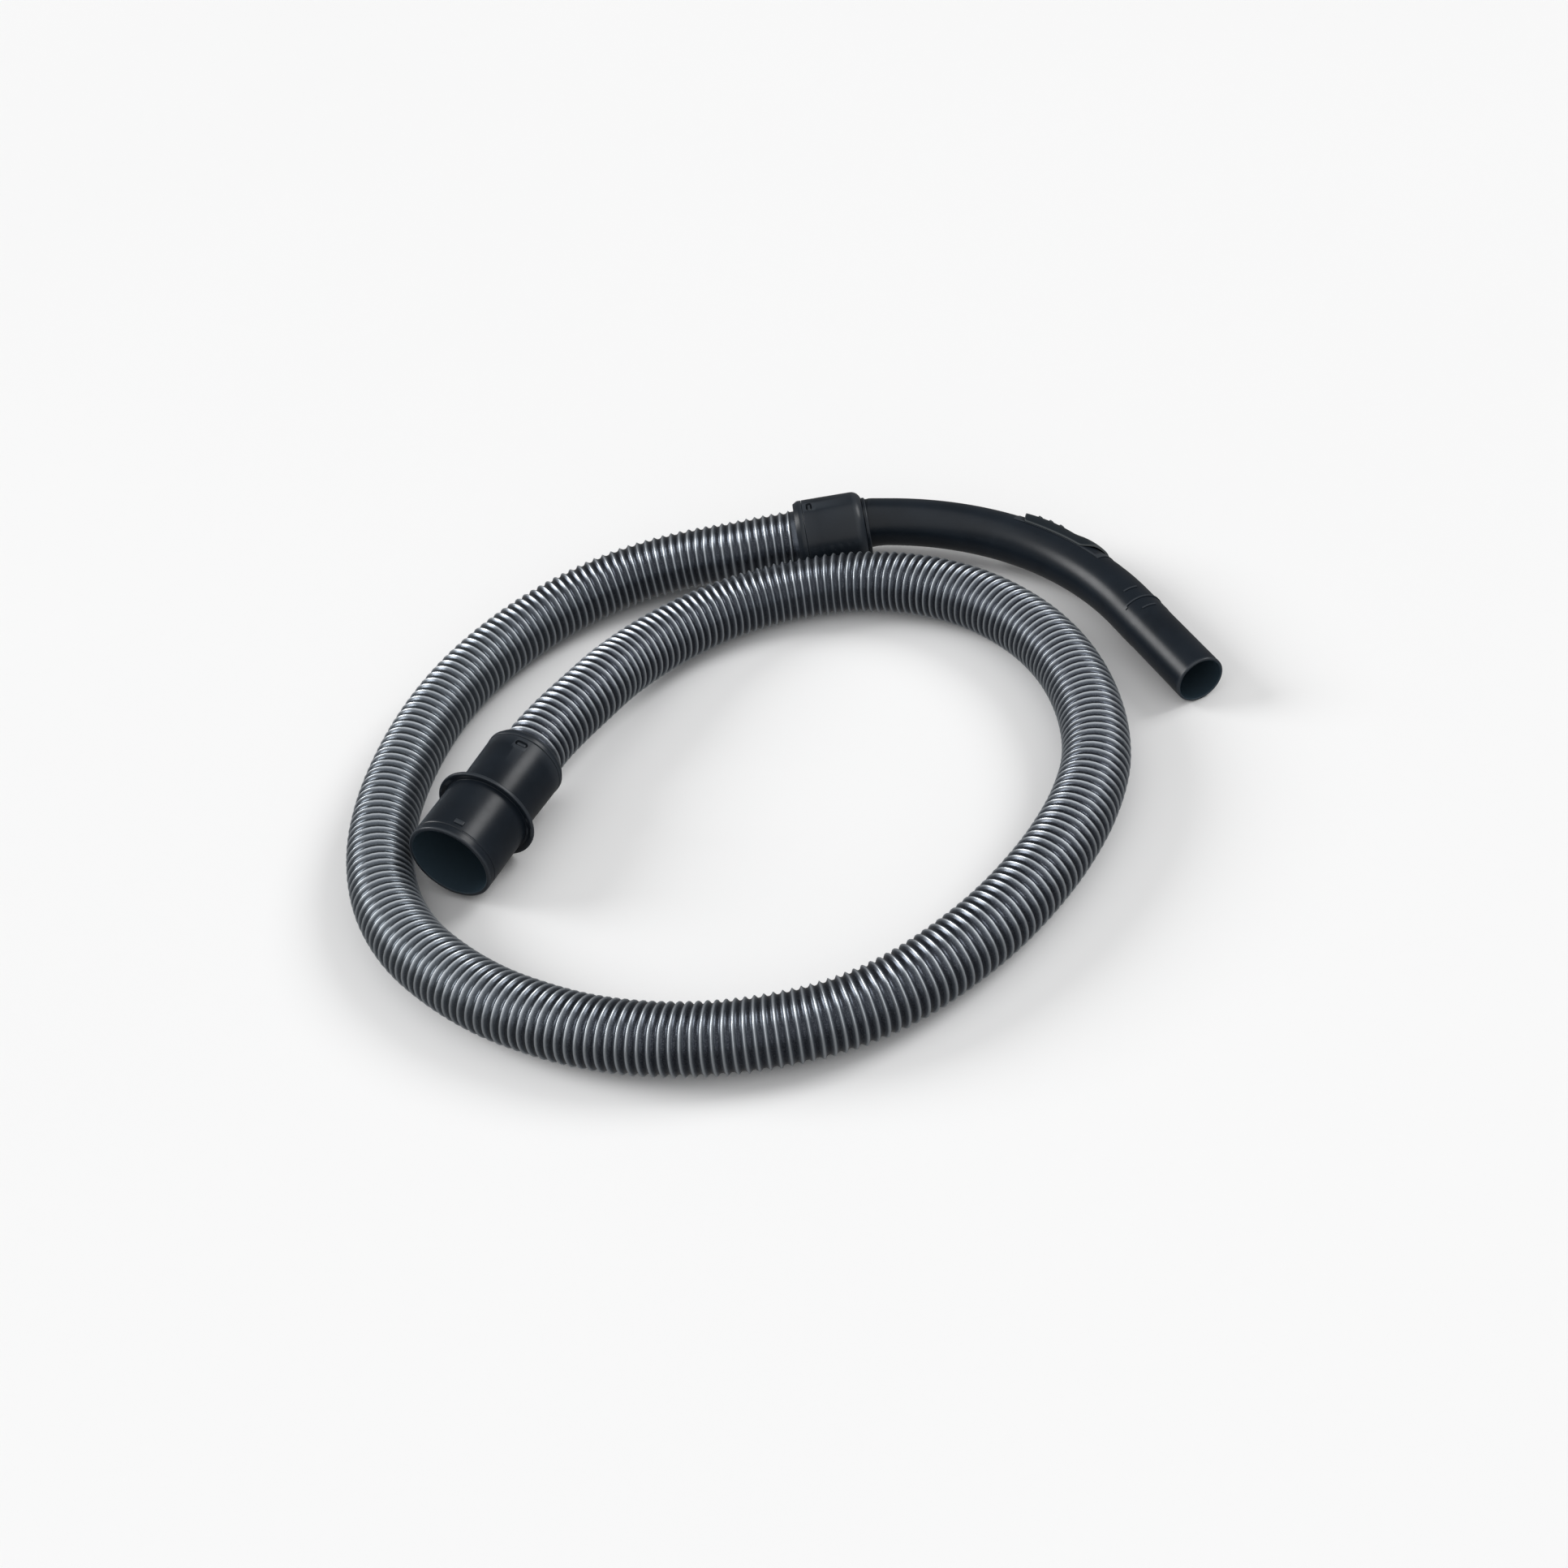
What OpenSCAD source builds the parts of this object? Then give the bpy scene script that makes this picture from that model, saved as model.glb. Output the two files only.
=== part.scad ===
// Vacuum cleaner suction hose, laid in one loop on the floor.
// A bent hand grip with an air slider turns on one end, a plug-in machine connector turns on the other.
// Millimetres, +Z up, the floor at z = 0.

/* [View] */
// Piece to draw

/* [Hose] */
// Outside diameter over the rib crests
hose_d = 40; // [39:0.25:41]
// Bore that the air runs through
hose_bore_d = 32; // [31:0.25:33]
// Height of a rib over the valley beside it
rib_height = 2; // [1:0.25:2.5]
// Number of ribs along the hose
rib_count = 200; // [120:10:200]
// Depth that the hose end goes into the nut and cap
hose_inside = 32.5; // [31.5:0.25:33]
// Straight length of hose outside each snap cap
hose_straight = 9; // [7:0.5:12]

/* [Hose nuts] */
// Wall of the nut round the hose
nut_wall = 1.5; // [1.2:0.1:1.8]
// Thickness of the lip in front of the hose end
nut_lip = 1.5; // [1:0.1:2]
// Depth of the lip inside the hose radius
nut_lip_depth = 3.4; // [2.5:0.1:3.6]
// Width of the flange that the grip or connector turns on
bearing_width = 5; // [4:0.5:8]
// Radial running clearance of that flange in its socket
bearing_gap = 0.08; // [0.05:0.01:0.1]

/* [Seals] */
// Thickness of a ring seal
seal_thickness = 2; // [1.5:0.25:2.5]
// Inside radius of a ring seal
seal_inner_r = 17; // [16.8:0.1:18]

/* [Snap caps] */
// Outside radius of a snap cap
cap_r = 25.4; // [25:0.1:26]
// Length of the band that shows
cap_band = 6; // [5:0.25:7]
// Bevel at the hose side of the band
cap_bevel = 1.2; // [0.5:0.1:2]
// Radial gap between cap and hose
cap_hose_gap = 0.4; // [0.3:0.05:0.6]
// Depth that the skirt reaches into the socket
skirt_length = 10.2; // [9.5:0.1:11]
// Width of a snap tab round the axis
tab_width = 7.4; // [6:0.2:8]
// Length of a snap tab along the axis
tab_length = 3.4; // [3:0.1:4]
// Gap round a tab in its window
tab_gap = 0.3; // [0.2:0.05:0.5]
// Depth of the fine chamfers at the seam
seam_chamfer = 0.4; // [0.2:0.1:0.6]

/* [Grip bell] */
// Length from the hose side of the cap to the bell's front
bell_front = 46.5; // [45:0.5:49]
// Outside radius of the bell at its front
bell_front_r = 25.1; // [24.6:0.1:25.2]
// Rounding of the bell's front corner
bell_round = 7; // [5:0.5:7]
// Radius of the step ring on the front
step_r = 20; // [19:0.25:20.5]
// Height of the step ring
step_height = 2.2; // [1:0.1:3]
// Angle that the tube leaves the bell's axis by
tube_cant = 11.4; // [9:0.2:13]
// Distance that the tube starts off the bell's axis
tube_offset = 5.6; // [4.5:0.1:6]

/* [Grip tube] */
// Outside diameter of the bent tube
tube_d = 31.8; // [31.4:0.1:32.4]
// Bore of the bent tube
tube_bore_d = 28; // [27:0.25:28.4]
// Radius of the bend at the tube's centre
bend_r = 204.5; // [190:0.5:215]
// Angle of the bend
bend_angle = 59.8; // [56:0.2:62]
// Length of the straight end after the bend
wand_length = 82; // [80:0.5:90]
// Reduction of the straight end below the tube radius, where wands and nozzles seat
seat_relief = 0.25; // [0.2:0.05:0.3]
// Length of that seat from the mouth
seat_length = 56; // [50:0.5:56]
// Length of the gentle cone from the tube down to the seat
seat_ease = 3; // [2:0.25:3]
// Rounding at the mouth
mouth_round = 0.9; // [0.5:0.1:1.2]
// Distance of the stop ring from the mouth
stop_from_mouth = 70; // [66:0.5:72]
// Height of the stop ring and the short marks beside it
stop_height = 0.6; // [0.4:0.1:0.8]
// Width of the stop ring
stop_width = 1.3; // [1:0.1:2]
// Distance of the short marks from the stop ring
mark_spacing = 10; // [9:0.5:11]
// Radius of the flare where the tube leaves the bell
flare_r = 18.5; // [18:0.25:18.5]
// Length of the flare
flare_length = 20; // [16:0.5:22]
// Radius of the flare's hollow curve
flare_curve = 52; // [48:0.5:56]
// Furthest that the flare may stand off the bell's axis
flare_limit = 18.4; // [18:0.1:19]

/* [Air slider] */
// Distance along the bend from its start to the slider's head
slider_start = 112; // [108:0.5:116]
// Length of the slider along the bend
slider_length = 64; // [62:0.5:66]
// Half of the angle that the slider covers of the tube
slider_half_angle = 51; // [46:0.5:54]
// Distance that the slider travels towards the mouth
slider_travel = 12; // [9:0.5:12]
// Gap between slider and track
slider_gap = 0.3; // [0.3:0.05:0.4]
// Height of the track pad on the tube
track_height = 0.4; // [0.3:0.1:0.6]
// Height of the first hump over the tube
hump_one = 3.5; // [3.2:0.1:3.8]
// Height of the second hump over the tube
hump_two = 3.2; // [3:0.1:3.5]
// Radius of the first hump's back
hump_one_r = 96; // [90:1:105]
// Radius of the second hump's back
hump_two_r = 52; // [48:1:60]
// Radius of a finger rib's round top
finger_rib_r = 0.8; // [0.6:0.1:1]
// Distance between finger ribs
finger_rib_pitch = 8; // [7:0.5:9]
// Number of finger ribs
finger_ribs = 3; // [2:1:3]
// Width of the vent slot in the tube
vent_width = 6; // [5:0.25:7]
// Gap beside the slider's key in the slot
key_gap = 0.15; // [0.1:0.05:0.3]
// Length of the slider's key
key_length = 22; // [16:1:26]

/* [Machine connector] */
// Outside diameter of the spigot
spigot_d = 54; // [53:0.25:54]
// Wall of the spigot
spigot_wall = 2.5; // [2:0.1:3]
// Length of the spigot in front of the flange
spigot_length = 42; // [38:0.5:42]
// Diameter of the flange
flange_d = 63.6; // [62:0.2:66]
// Thickness of the flange
flange_thickness = 2.25; // [2:0.25:3]
// Length from the hose side of the cap to the flange's front
flange_front = 51; // [49:0.5:52]
// Radius of the sleeve behind the flange
sleeve_neck_r = 24.1; // [23.9:0.1:24.6]
// Radius of the sleeve at the seam
sleeve_r = 25.2; // [25:0.1:25.4]
// Distance of the fine groove from the mouth
groove_from_mouth = 9; // [7:0.5:11]
// Depth of that groove
groove_depth = 0.3; // [0.2:0.1:0.4]
// Height of the latch bump over the spigot
latch_height = 1; // [0.6:0.1:1.2]
// Length of the latch bump round the spigot
latch_length = 6; // [4:0.5:8]
// Width of the latch bump along the spigot
latch_width = 3; // [2:0.25:4]
// Distance of the latch bump from the mouth
latch_from_mouth = 12.5; // [12.5:0.5:15]
// Turn of the latch bump round the axis, from the top towards the viewer's side
latch_turn = 20; // [0:5:90]
// Turn of the connector's snap windows round the axis
machine_window_turn = 30; // [0:5:90]

/* [Lay on the floor] */
// Hose side of the grip's cap along X
grip_x = 16; // [15:0.5:17]
// Hose side of the grip's cap along Y
grip_y = 124.7; // [124:0.1:126]
// Heading of the bell's axis
grip_heading = -3; // [-4:0.5:-2]
// Hose side of the connector's cap along X
machine_x = -177; // [-178:0.5:-175]
// Hose side of the connector's cap along Y
machine_y = -58; // [-60:0.5:-57]
// Heading of the connector's mouth
machine_heading = 238; // [237:0.5:239]

/* [Hidden] */
$fn = 96;
bend_facets = 480;
black = [0.12, 0.14, 0.17];
dark = [0.07, 0.08, 0.09];
rubber = [0.05, 0.05, 0.05];
grey = [0.68, 0.70, 0.72];

// Radii that follow from the sizes above
hose_r = hose_d / 2;
hose_bore_r = hose_bore_d / 2;
nut_hose_gap = 0.1;
nut_bore_r = hose_r + nut_hose_gap;
nut_r = nut_bore_r + nut_wall;
nut_side_gap = 1.2;
socket_r = nut_r + nut_side_gap;
bearing_r = socket_r - bearing_gap;
skirt_socket_gap = 0.1;
skirt_r = socket_r - skirt_socket_gap;
cap_bore_r = hose_r + cap_hose_gap;
lip_r = hose_r - nut_lip_depth;
tube_r = tube_d / 2;
tube_bore_r = tube_bore_d / 2;
seat_r = tube_r - seat_relief;
bore_step = 0.1;
spigot_r = spigot_d / 2;
spigot_bore_r = spigot_r - spigot_wall;
flange_r = flange_d / 2;
neck_r = 17.2;

// Places along a swivel end, from the hose side of its cap
end_play = 0.2;
skirt_end = cap_band + skirt_length;
nut_back = skirt_end + end_play;
nut_front = hose_inside + nut_lip;
seal_front = nut_front + seal_thickness;
shoulder = seal_front + end_play;
tab_middle = 10.8;
tab_top = cap_r - 0.5;
seal_r = nut_r - 0.4;

// The grip lies on its cap and on the rim of its mouth
grip_z = cap_r;
end_turn = tube_cant + bend_angle;
mouth_reach = bend_r * (cos(tube_cant) - cos(end_turn)) + wand_length * sin(end_turn) - tube_offset;
grip_roll = asin((grip_z - seat_r) / mouth_reach);
machine_z = flange_r;
mouth_s = flange_front + spigot_length;

// Arc angles on the bend
per_mm = 180 / (PI * bend_r);
slider_a0 = slider_start * per_mm;
slider_a1 = (slider_start + slider_length) * per_mm;
travel_angle = slider_travel * per_mm;
track_a0 = slider_a0 - 3 * per_mm;
track_a1 = slider_a1 + (slider_travel + 3) * per_mm;
track_half_angle = slider_half_angle + 3;
key_start = slider_start + 4;
key_a0 = key_start * per_mm;
key_a1 = (key_start + key_length) * per_mm;
slot_end_gap = 0.5;
slot_a0 = key_a0 - slot_end_gap * per_mm;
slot_a1 = key_a1 + travel_angle + slot_end_gap * per_mm;
slider_in_r = tube_r + track_height + slider_gap;
hump_one_at = 20;
hump_two_at = 51;
hump_one_span = 22;
hump_two_span = 14.5;

// Route of the hose between the two straight ends
hose_route = [
    [-30, 126, 25.4], [-66, 129, 24], [-102, 127, 22], [-135, 117, 20.5], [-166, 100, 20],
    [-194, 77, 20], [-219, 49, 20], [-240, 15, 20], [-256, -23, 20], [-267, -64, 20],
    [-271, -105, 20], [-266, -147, 20], [-252, -184, 20], [-231, -215, 20], [-207, -241, 20],
    [-182, -261, 20], [-157, -277, 20], [-131, -289, 20], [-106, -297, 20], [-81, -302, 20],
    [-55, -304, 20], [-29, -303, 20], [-4, -298, 20], [20, -289, 20], [44, -276, 20],
    [69, -259, 20], [93, -238, 20], [116, -213, 20], [137, -183, 20], [153, -148, 20],
    [160, -107, 20], [158, -63, 20], [147, -23, 20], [128, 12, 20], [104, 39, 20],
    [75, 59, 20], [43, 71, 20], [11, 75, 20], [-21, 73, 20], [-52, 64, 21],
    [-82, 48, 23], [-109, 26, 26], [-132, 0, 29.5]
];

// Directions and places of the two hose ends
function heading(a) = [cos(a), sin(a), 0];
grip_dir = heading(grip_heading);
machine_dir = heading(machine_heading);
grip_face = [grip_x, grip_y, grip_z];
machine_face = [machine_x, machine_y, machine_z];
hose_start = grip_face + hose_inside * grip_dir;
hose_finish = machine_face + hose_inside * machine_dir;
start_out = grip_face - hose_straight * grip_dir;
finish_out = machine_face - hose_straight * machine_dir;

// A smooth curve through the route, sampled and measured by its own length
knots = concat([start_out], hose_route, [finish_out]);
last_knot = len(knots) - 1;
function tangent(i) =
    i == 0 ? -grip_dir * norm(knots[1] - knots[0]) :
    i == last_knot ? machine_dir * norm(knots[i] - knots[i - 1]) :
    (knots[i + 1] - knots[i - 1]) / 2;
function curve(i, u) =
    (2 * u * u * u - 3 * u * u + 1) * knots[i] +
    (u * u * u - 2 * u * u + u) * tangent(i) +
    (3 * u * u - 2 * u * u * u) * knots[i + 1] +
    (u * u * u - u * u) * tangent(i + 1);
samples = 8;
trace = concat(
    [hose_start],
    [for (i = [0 : last_knot - 1]) for (j = [0 : samples - 1]) curve(i, j / samples)],
    [finish_out, hose_finish]
);
last_trace = len(trace) - 1;
steps = [for (i = [0 : last_trace]) i == 0 ? 0 : norm(trace[i] - trace[i - 1])];
run = [for (i = 0, total = 0; i <= last_trace; i = i + 1, total = total + (i <= last_trace ? steps[i] : 0)) total];
hose_length = run[last_trace];
x_of = [for (i = [0 : last_trace]) [run[i], trace[i][0]]];
y_of = [for (i = [0 : last_trace]) [run[i], trace[i][1]]];
z_of = [for (i = [0 : last_trace]) [run[i], trace[i][2]]];
function along(s) = [lookup(s, x_of), lookup(s, y_of), lookup(s, z_of)];
function unit(v) = v / norm(v);
function direction(s) = unit(along(min(s + 2, hose_length)) - along(max(s - 2, 0)));

// Rings of the hose: crest and valley by turns outside, plain rings in the bore
sides = 8;
outer_rings = 2 * rib_count;
bore_rings = 48;
function ring(s, r) =
    let (t = direction(s), side = unit(cross(t, [0, 0, 1])), up = cross(side, t))
    [for (k = [0 : sides - 1]) along(s) + r * (cos(360 * k / sides) * side + sin(360 * k / sides) * up)];
function outer_s(i) = hose_length * i / (outer_rings - 1);
function bore_s(i) = hose_length * i / (bore_rings - 1);
function outer_ring_r(i) = i % 2 == 0 ? hose_r : (i == outer_rings - 1 ? hose_r : hose_r - rib_height);
outer_points = [for (i = [0 : outer_rings - 1]) each ring(outer_s(i), outer_ring_r(i))];
bore_points = [for (i = [0 : bore_rings - 1]) each ring(bore_s(i), hose_bore_r)];
bore_base = outer_rings * sides;
function next(k) = (k + 1) % sides;
function skin(base, rings) = [
    for (i = [0 : rings - 2]) for (k = [0 : sides - 1])
        each [
            [base + i * sides + k, base + (i + 1) * sides + k, base + (i + 1) * sides + next(k)],
            [base + i * sides + k, base + (i + 1) * sides + next(k), base + i * sides + next(k)]
        ]
];
function turned_over(faces) = [for (f = faces) [f[2], f[1], f[0]]];
function end_face(a, b) = [
    for (k = [0 : sides - 1])
        each [[a + k, a + next(k), b + next(k)], [a + k, b + next(k), b + k]]
];

// Place of the grip, with its first axis along the bell towards the front
module on_grip() {
    translate(grip_face)
        rotate([grip_roll, 0, grip_heading])
            children();
}

// Place of the machine connector, with its first axis towards the mouth
module on_machine() {
    translate(machine_face)
        rotate([0, 0, machine_heading])
            children();
}

// A profile of [radius, place] turned about the first axis
module turned() {
    rotate([0, 90, 0])
        rotate_extrude()
            children();
}

// A plain round bar along the first axis
module bar(r, from, to) {
    translate([from, 0, 0])
        rotate([0, 90, 0])
            cylinder(r = r, h = to - from);
}

module hose_body() {
    polyhedron(
        points = concat(outer_points, bore_points),
        faces = concat(
            skin(0, outer_rings),
            turned_over(skin(bore_base, bore_rings)),
            end_face(0, bore_base),
            turned_over(end_face((outer_rings - 1) * sides, bore_base + (bore_rings - 1) * sides))
        ),
        convexity = 12
    );
}

// Nut on the hose end: a body round the hose, a lip in front of it and the flange that carries the swivel
module nut_body() {
    turned()
        polygon([
            [nut_bore_r, nut_back],
            [bearing_r, nut_back],
            [bearing_r, nut_back + bearing_width],
            [nut_r, nut_back + bearing_width],
            [nut_r, nut_front],
            [lip_r, nut_front],
            [lip_r, hose_inside],
            [nut_bore_r, hose_inside]
        ]);
}

module seal_body() {
    turned()
        polygon([
            [seal_inner_r, nut_front],
            [seal_r, nut_front],
            [seal_r, seal_front],
            [seal_inner_r, seal_front]
        ]);
}

// Snap cap: the band that shows, a skirt in the socket and two tabs
module cap_body() {
    turned()
        polygon([
            [cap_bore_r, 0],
            [cap_r - cap_bevel, 0],
            [cap_r, cap_bevel],
            [cap_r, cap_band - seam_chamfer],
            [cap_r - seam_chamfer, cap_band],
            [skirt_r, cap_band],
            [skirt_r, skirt_end],
            [cap_bore_r, skirt_end]
        ]);
    tab_pair(tab_width, tab_length, skirt_r - 1.2, tab_top);
}

// Two blocks on opposite sides, as tabs or as the windows for them
module tab_pair(width, length, inner, outer) {
    for (side = [0, 180])
        rotate([side, 0, 0])
            translate([tab_middle - length / 2, -width / 2, inner])
                cube([length, width, outer - inner]);
}

// Socket, shoulder and windows cut from the bell and from the connector alike
module swivel_socket() {
    bar(socket_r, cap_band - 1, shoulder);
    tab_pair(tab_width + 2 * tab_gap, tab_length + 2 * tab_gap, socket_r - 3, cap_r + 2);
}

// Start of the bent tube on the bell's front, canted and off the axis
module on_tube_start() {
    translate([bell_front, tube_offset, 0])
        rotate([0, 0, -tube_cant])
            children();
}

// Plane of the bend, turned so that the first axis meets the tube at an angle along the bend
module at_bend(a) {
    on_tube_start()
        translate([0, -bend_r, 0])
            rotate([0, 0, 90 - a])
                children();
}

// End of the bend, with the first axis along the straight end
module on_wand() {
    on_tube_start()
        translate([0, -bend_r, 0])
            rotate([0, 0, -bend_angle])
                translate([0, bend_r, 0])
                    children();
}

// A profile round the tube's centre carried along the bend between two angles
module bent(a0, a1) {
    at_bend(a1)
        rotate_extrude(angle = a1 - a0, $fn = bend_facets)
            translate([bend_r, 0])
                children();
}

// Part of a ring round the tube's centre, on the outer side of the bend
module ring_part(inner, outer, half_angle) {
    reach = 2 * outer;
    intersection() {
        difference() {
            circle(r = outer, $fn = 96);
            circle(r = inner, $fn = 96);
        }
        polygon([
            [0, 0],
            [reach * cos(half_angle), -reach * sin(half_angle)],
            [reach, 0],
            [reach * cos(half_angle), reach * sin(half_angle)]
        ]);
    }
}

module bell_body() {
    turned()
        polygon([
            [0, cap_band],
            [cap_r - seam_chamfer, cap_band],
            [cap_r, cap_band + seam_chamfer],
            [bell_front_r, bell_front - bell_round],
            [bell_front_r - bell_round, bell_front],
            [0, bell_front]
        ]);
    bar(step_r, bell_front - 2, bell_front + step_height);
    turned()
        intersection() {
            translate([bell_front_r - bell_round, bell_front - bell_round])
                circle(r = bell_round);
            translate([bell_front_r - bell_round, bell_front - bell_round])
                square([bell_round, bell_round]);
        }
}

// Hollow-sided flare at the root of the tube, kept within the bell's step ring
module root_flare() {
    intersection() {
        on_tube_start()
            turned()
                difference() {
                    translate([0, -4])
                        square([flare_r, flare_length + 4]);
                    translate([flare_r - flare_hollow() + flare_curve, flare_length])
                        circle(r = flare_curve);
                }
        bar(flare_limit, bell_front - 2, bell_front + flare_length + 4);
    }
}

// Depth of the hollow curve over the flare's length
function flare_hollow() = flare_curve - sqrt(flare_curve * flare_curve - flare_length * flare_length);

// Short raised marks beside the stop ring, on the upper side
module short_mark(place) {
    on_wand()
        translate([place, 0, 0])
            rotate([0, 90, 0])
                rotate([0, 0, 193])
                    rotate_extrude(angle = 34)
                        translate([tube_r - 0.6, -stop_width / 2])
                            square([stop_height + 0.6, stop_width]);
}

module wand_outside() {
    seat_start = wand_length - seat_length;
    ease_start = seat_start - seat_ease;
    stop_place = wand_length - stop_from_mouth;
    bar(tube_r, 0, ease_start);
    turned()
        polygon([
            [0, ease_start],
            [tube_r, ease_start],
            [seat_r, seat_start],
            [seat_r, wand_length - mouth_round],
            [seat_r - mouth_round, wand_length],
            [0, wand_length]
        ]);
    turned()
        polygon([
            [0, stop_place - stop_width],
            [tube_r, stop_place - stop_width],
            [tube_r + stop_height, stop_place - stop_width / 2],
            [tube_r + stop_height, stop_place + stop_width / 2],
            [tube_r, stop_place + stop_width],
            [0, stop_place + stop_width]
        ]);
}

module grip_tube_body() {
    difference() {
        union() {
            bell_body();
            root_flare();
            bent(0, bend_angle)
                circle(r = tube_r, $fn = 96);
            bent(track_a0, track_a1)
                ring_part(tube_r - 0.6, tube_r + track_height, track_half_angle);
            on_wand()
                wand_outside();
            short_mark(wand_length - stop_from_mouth - mark_spacing);
            short_mark(wand_length - stop_from_mouth + mark_spacing);
        }
        swivel_socket();
        bar(neck_r, shoulder - 1, bell_front - 3);
        on_tube_start()
            bar(tube_bore_r + bore_step, -8, 1);
        bent(0, bend_angle)
            circle(r = tube_bore_r, $fn = 96);
        on_wand()
            bar(tube_bore_r + bore_step, -1, wand_length + 1);
        bent(slot_a0, slot_a1)
            translate([tube_bore_r - 3, -vent_width / 2])
                square([8, vent_width]);
    }
}

// A tube of shorter bend that stands proud of the grip tube at its middle
module hump(at, span, height, short_r) {
    half = span * 180 / (PI * short_r);
    at_bend((slider_start + at) * per_mm)
        translate([bend_r - short_r, 0, 0])
            rotate([0, 0, -half])
                rotate_extrude(angle = 2 * half, $fn = bend_facets)
                    translate([short_r, 0])
                        ring_part(tube_r - 1, tube_r + height, slider_half_angle + 9);
}

// Finger rib across the slider
module finger_rib(at) {
    rib_r = tube_r + hump_one - 0.1;
    at_bend((slider_start + at) * per_mm)
        translate([bend_r, 0, 0])
            rotate([90, 0, 0])
                rotate([0, 0, -42])
                    rotate_extrude(angle = 84)
                        translate([rib_r, 0])
                            circle(r = finger_rib_r);
}

module slider_body() {
    difference() {
        union() {
            intersection() {
                union() {
                    hump(hump_one_at, hump_one_span, hump_one, hump_one_r);
                    hump(hump_two_at, hump_two_span, hump_two, hump_two_r);
                }
                bent(slider_a0, slider_a1)
                    ring_part(tube_r - 2, tube_r + 8, slider_half_angle);
            }
            for (i = [0 : finger_ribs - 1])
                finger_rib(12 + i * finger_rib_pitch);
        }
        bent(slider_a0 - 1, slider_a1 + 1)
            circle(r = slider_in_r, $fn = 96);
    }
    // Key through the vent slot, with a wider foot inside the bore
    bent(key_a0, key_a1)
        translate([tube_bore_r - 1.4, key_gap - vent_width / 2])
            square([slider_in_r - tube_bore_r + 2, vent_width - 2 * key_gap]);
    bent(key_a0 + per_mm, key_a1 - per_mm)
        ring_part(tube_bore_r - 1.6, tube_bore_r - 0.4, 20);
}

// Rounded bump that holds the spigot in the machine's inlet
module latch_bump() {
    rotate([-latch_turn, 0, 0])
        translate([mouth_s - latch_from_mouth, latch_length / 2, spigot_r])
            rotate([90, 0, 0])
                linear_extrude(latch_length)
                    polygon([
                        [-latch_width / 2, -1],
                        [latch_width / 2, -1],
                        [latch_width / 2, 0],
                        [latch_width / 6, latch_height],
                        [-latch_width / 6, latch_height],
                        [-latch_width / 2, 0]
                    ]);
}

module machine_spigot_body() {
    flange_back = flange_front - flange_thickness;
    funnel_start = shoulder + 3;
    funnel_end = flange_front + 7;
    difference() {
        union() {
            turned()
                polygon([
                    [0, cap_band],
                    [sleeve_r - seam_chamfer, cap_band],
                    [sleeve_r, cap_band + seam_chamfer],
                    [sleeve_neck_r, flange_back],
                    [flange_r - 0.5, flange_back],
                    [flange_r, flange_back + 0.5],
                    [flange_r, flange_front - 0.5],
                    [flange_r - 0.5, flange_front],
                    [spigot_r, flange_front],
                    [spigot_r, mouth_s - groove_from_mouth - 0.6],
                    [spigot_r - groove_depth, mouth_s - groove_from_mouth - 0.3],
                    [spigot_r - groove_depth, mouth_s - groove_from_mouth + 0.3],
                    [spigot_r, mouth_s - groove_from_mouth + 0.6],
                    [spigot_r, mouth_s - 1],
                    [spigot_r - 1, mouth_s],
                    [0, mouth_s]
                ]);
            latch_bump();
        }
        rotate([-machine_window_turn, 0, 0])
            swivel_socket();
        turned()
            polygon([
                [0, shoulder - 1],
                [neck_r, shoulder - 1],
                [neck_r, funnel_start],
                [spigot_bore_r, funnel_end],
                [spigot_bore_r, mouth_s + 1],
                [0, mouth_s + 1]
            ]);
    }
}

module hose() {
    color(grey)
        hose_body();
}

module grip_nut() {
    color(dark)
        on_grip()
            nut_body();
}

module grip_seal() {
    color(rubber)
        on_grip()
            seal_body();
}

module grip_cap() {
    color(black)
        on_grip()
            cap_body();
}

module grip_tube() {
    color(black)
        on_grip()
            grip_tube_body();
}

module vent_slider() {
    color(dark)
        on_grip()
            slider_body();
}

module machine_nut() {
    color(dark)
        on_machine()
            nut_body();
}

module machine_seal() {
    color(rubber)
        on_machine()
            seal_body();
}

module machine_cap() {
    color(black)
        on_machine()
            rotate([-machine_window_turn, 0, 0])
                cap_body();
}

module machine_spigot() {
    color(black)
        on_machine()
            machine_spigot_body();
}

hose();
grip_nut();
grip_seal();
grip_cap();
grip_tube();
vent_slider();
machine_nut();
machine_seal();
machine_cap();
machine_spigot();
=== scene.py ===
"""Looks of a vacuum cleaner suction hose that lies in one loop, with a bent hand grip and a machine connector.

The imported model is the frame. The hose, the grip, its slider, the two caps and the connector are modelled here
over their CAD solids, and the nuts and seals inside keep theirs. All lengths in the classes are millimetres,
and meshes are brought to metres when they are placed.
"""

import logging
import math
from dataclasses import dataclass
from enum import Enum
from typing import Callable, Iterable, Sequence

import bpy
import numpy as np
from mathutils import Matrix, Vector


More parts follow.
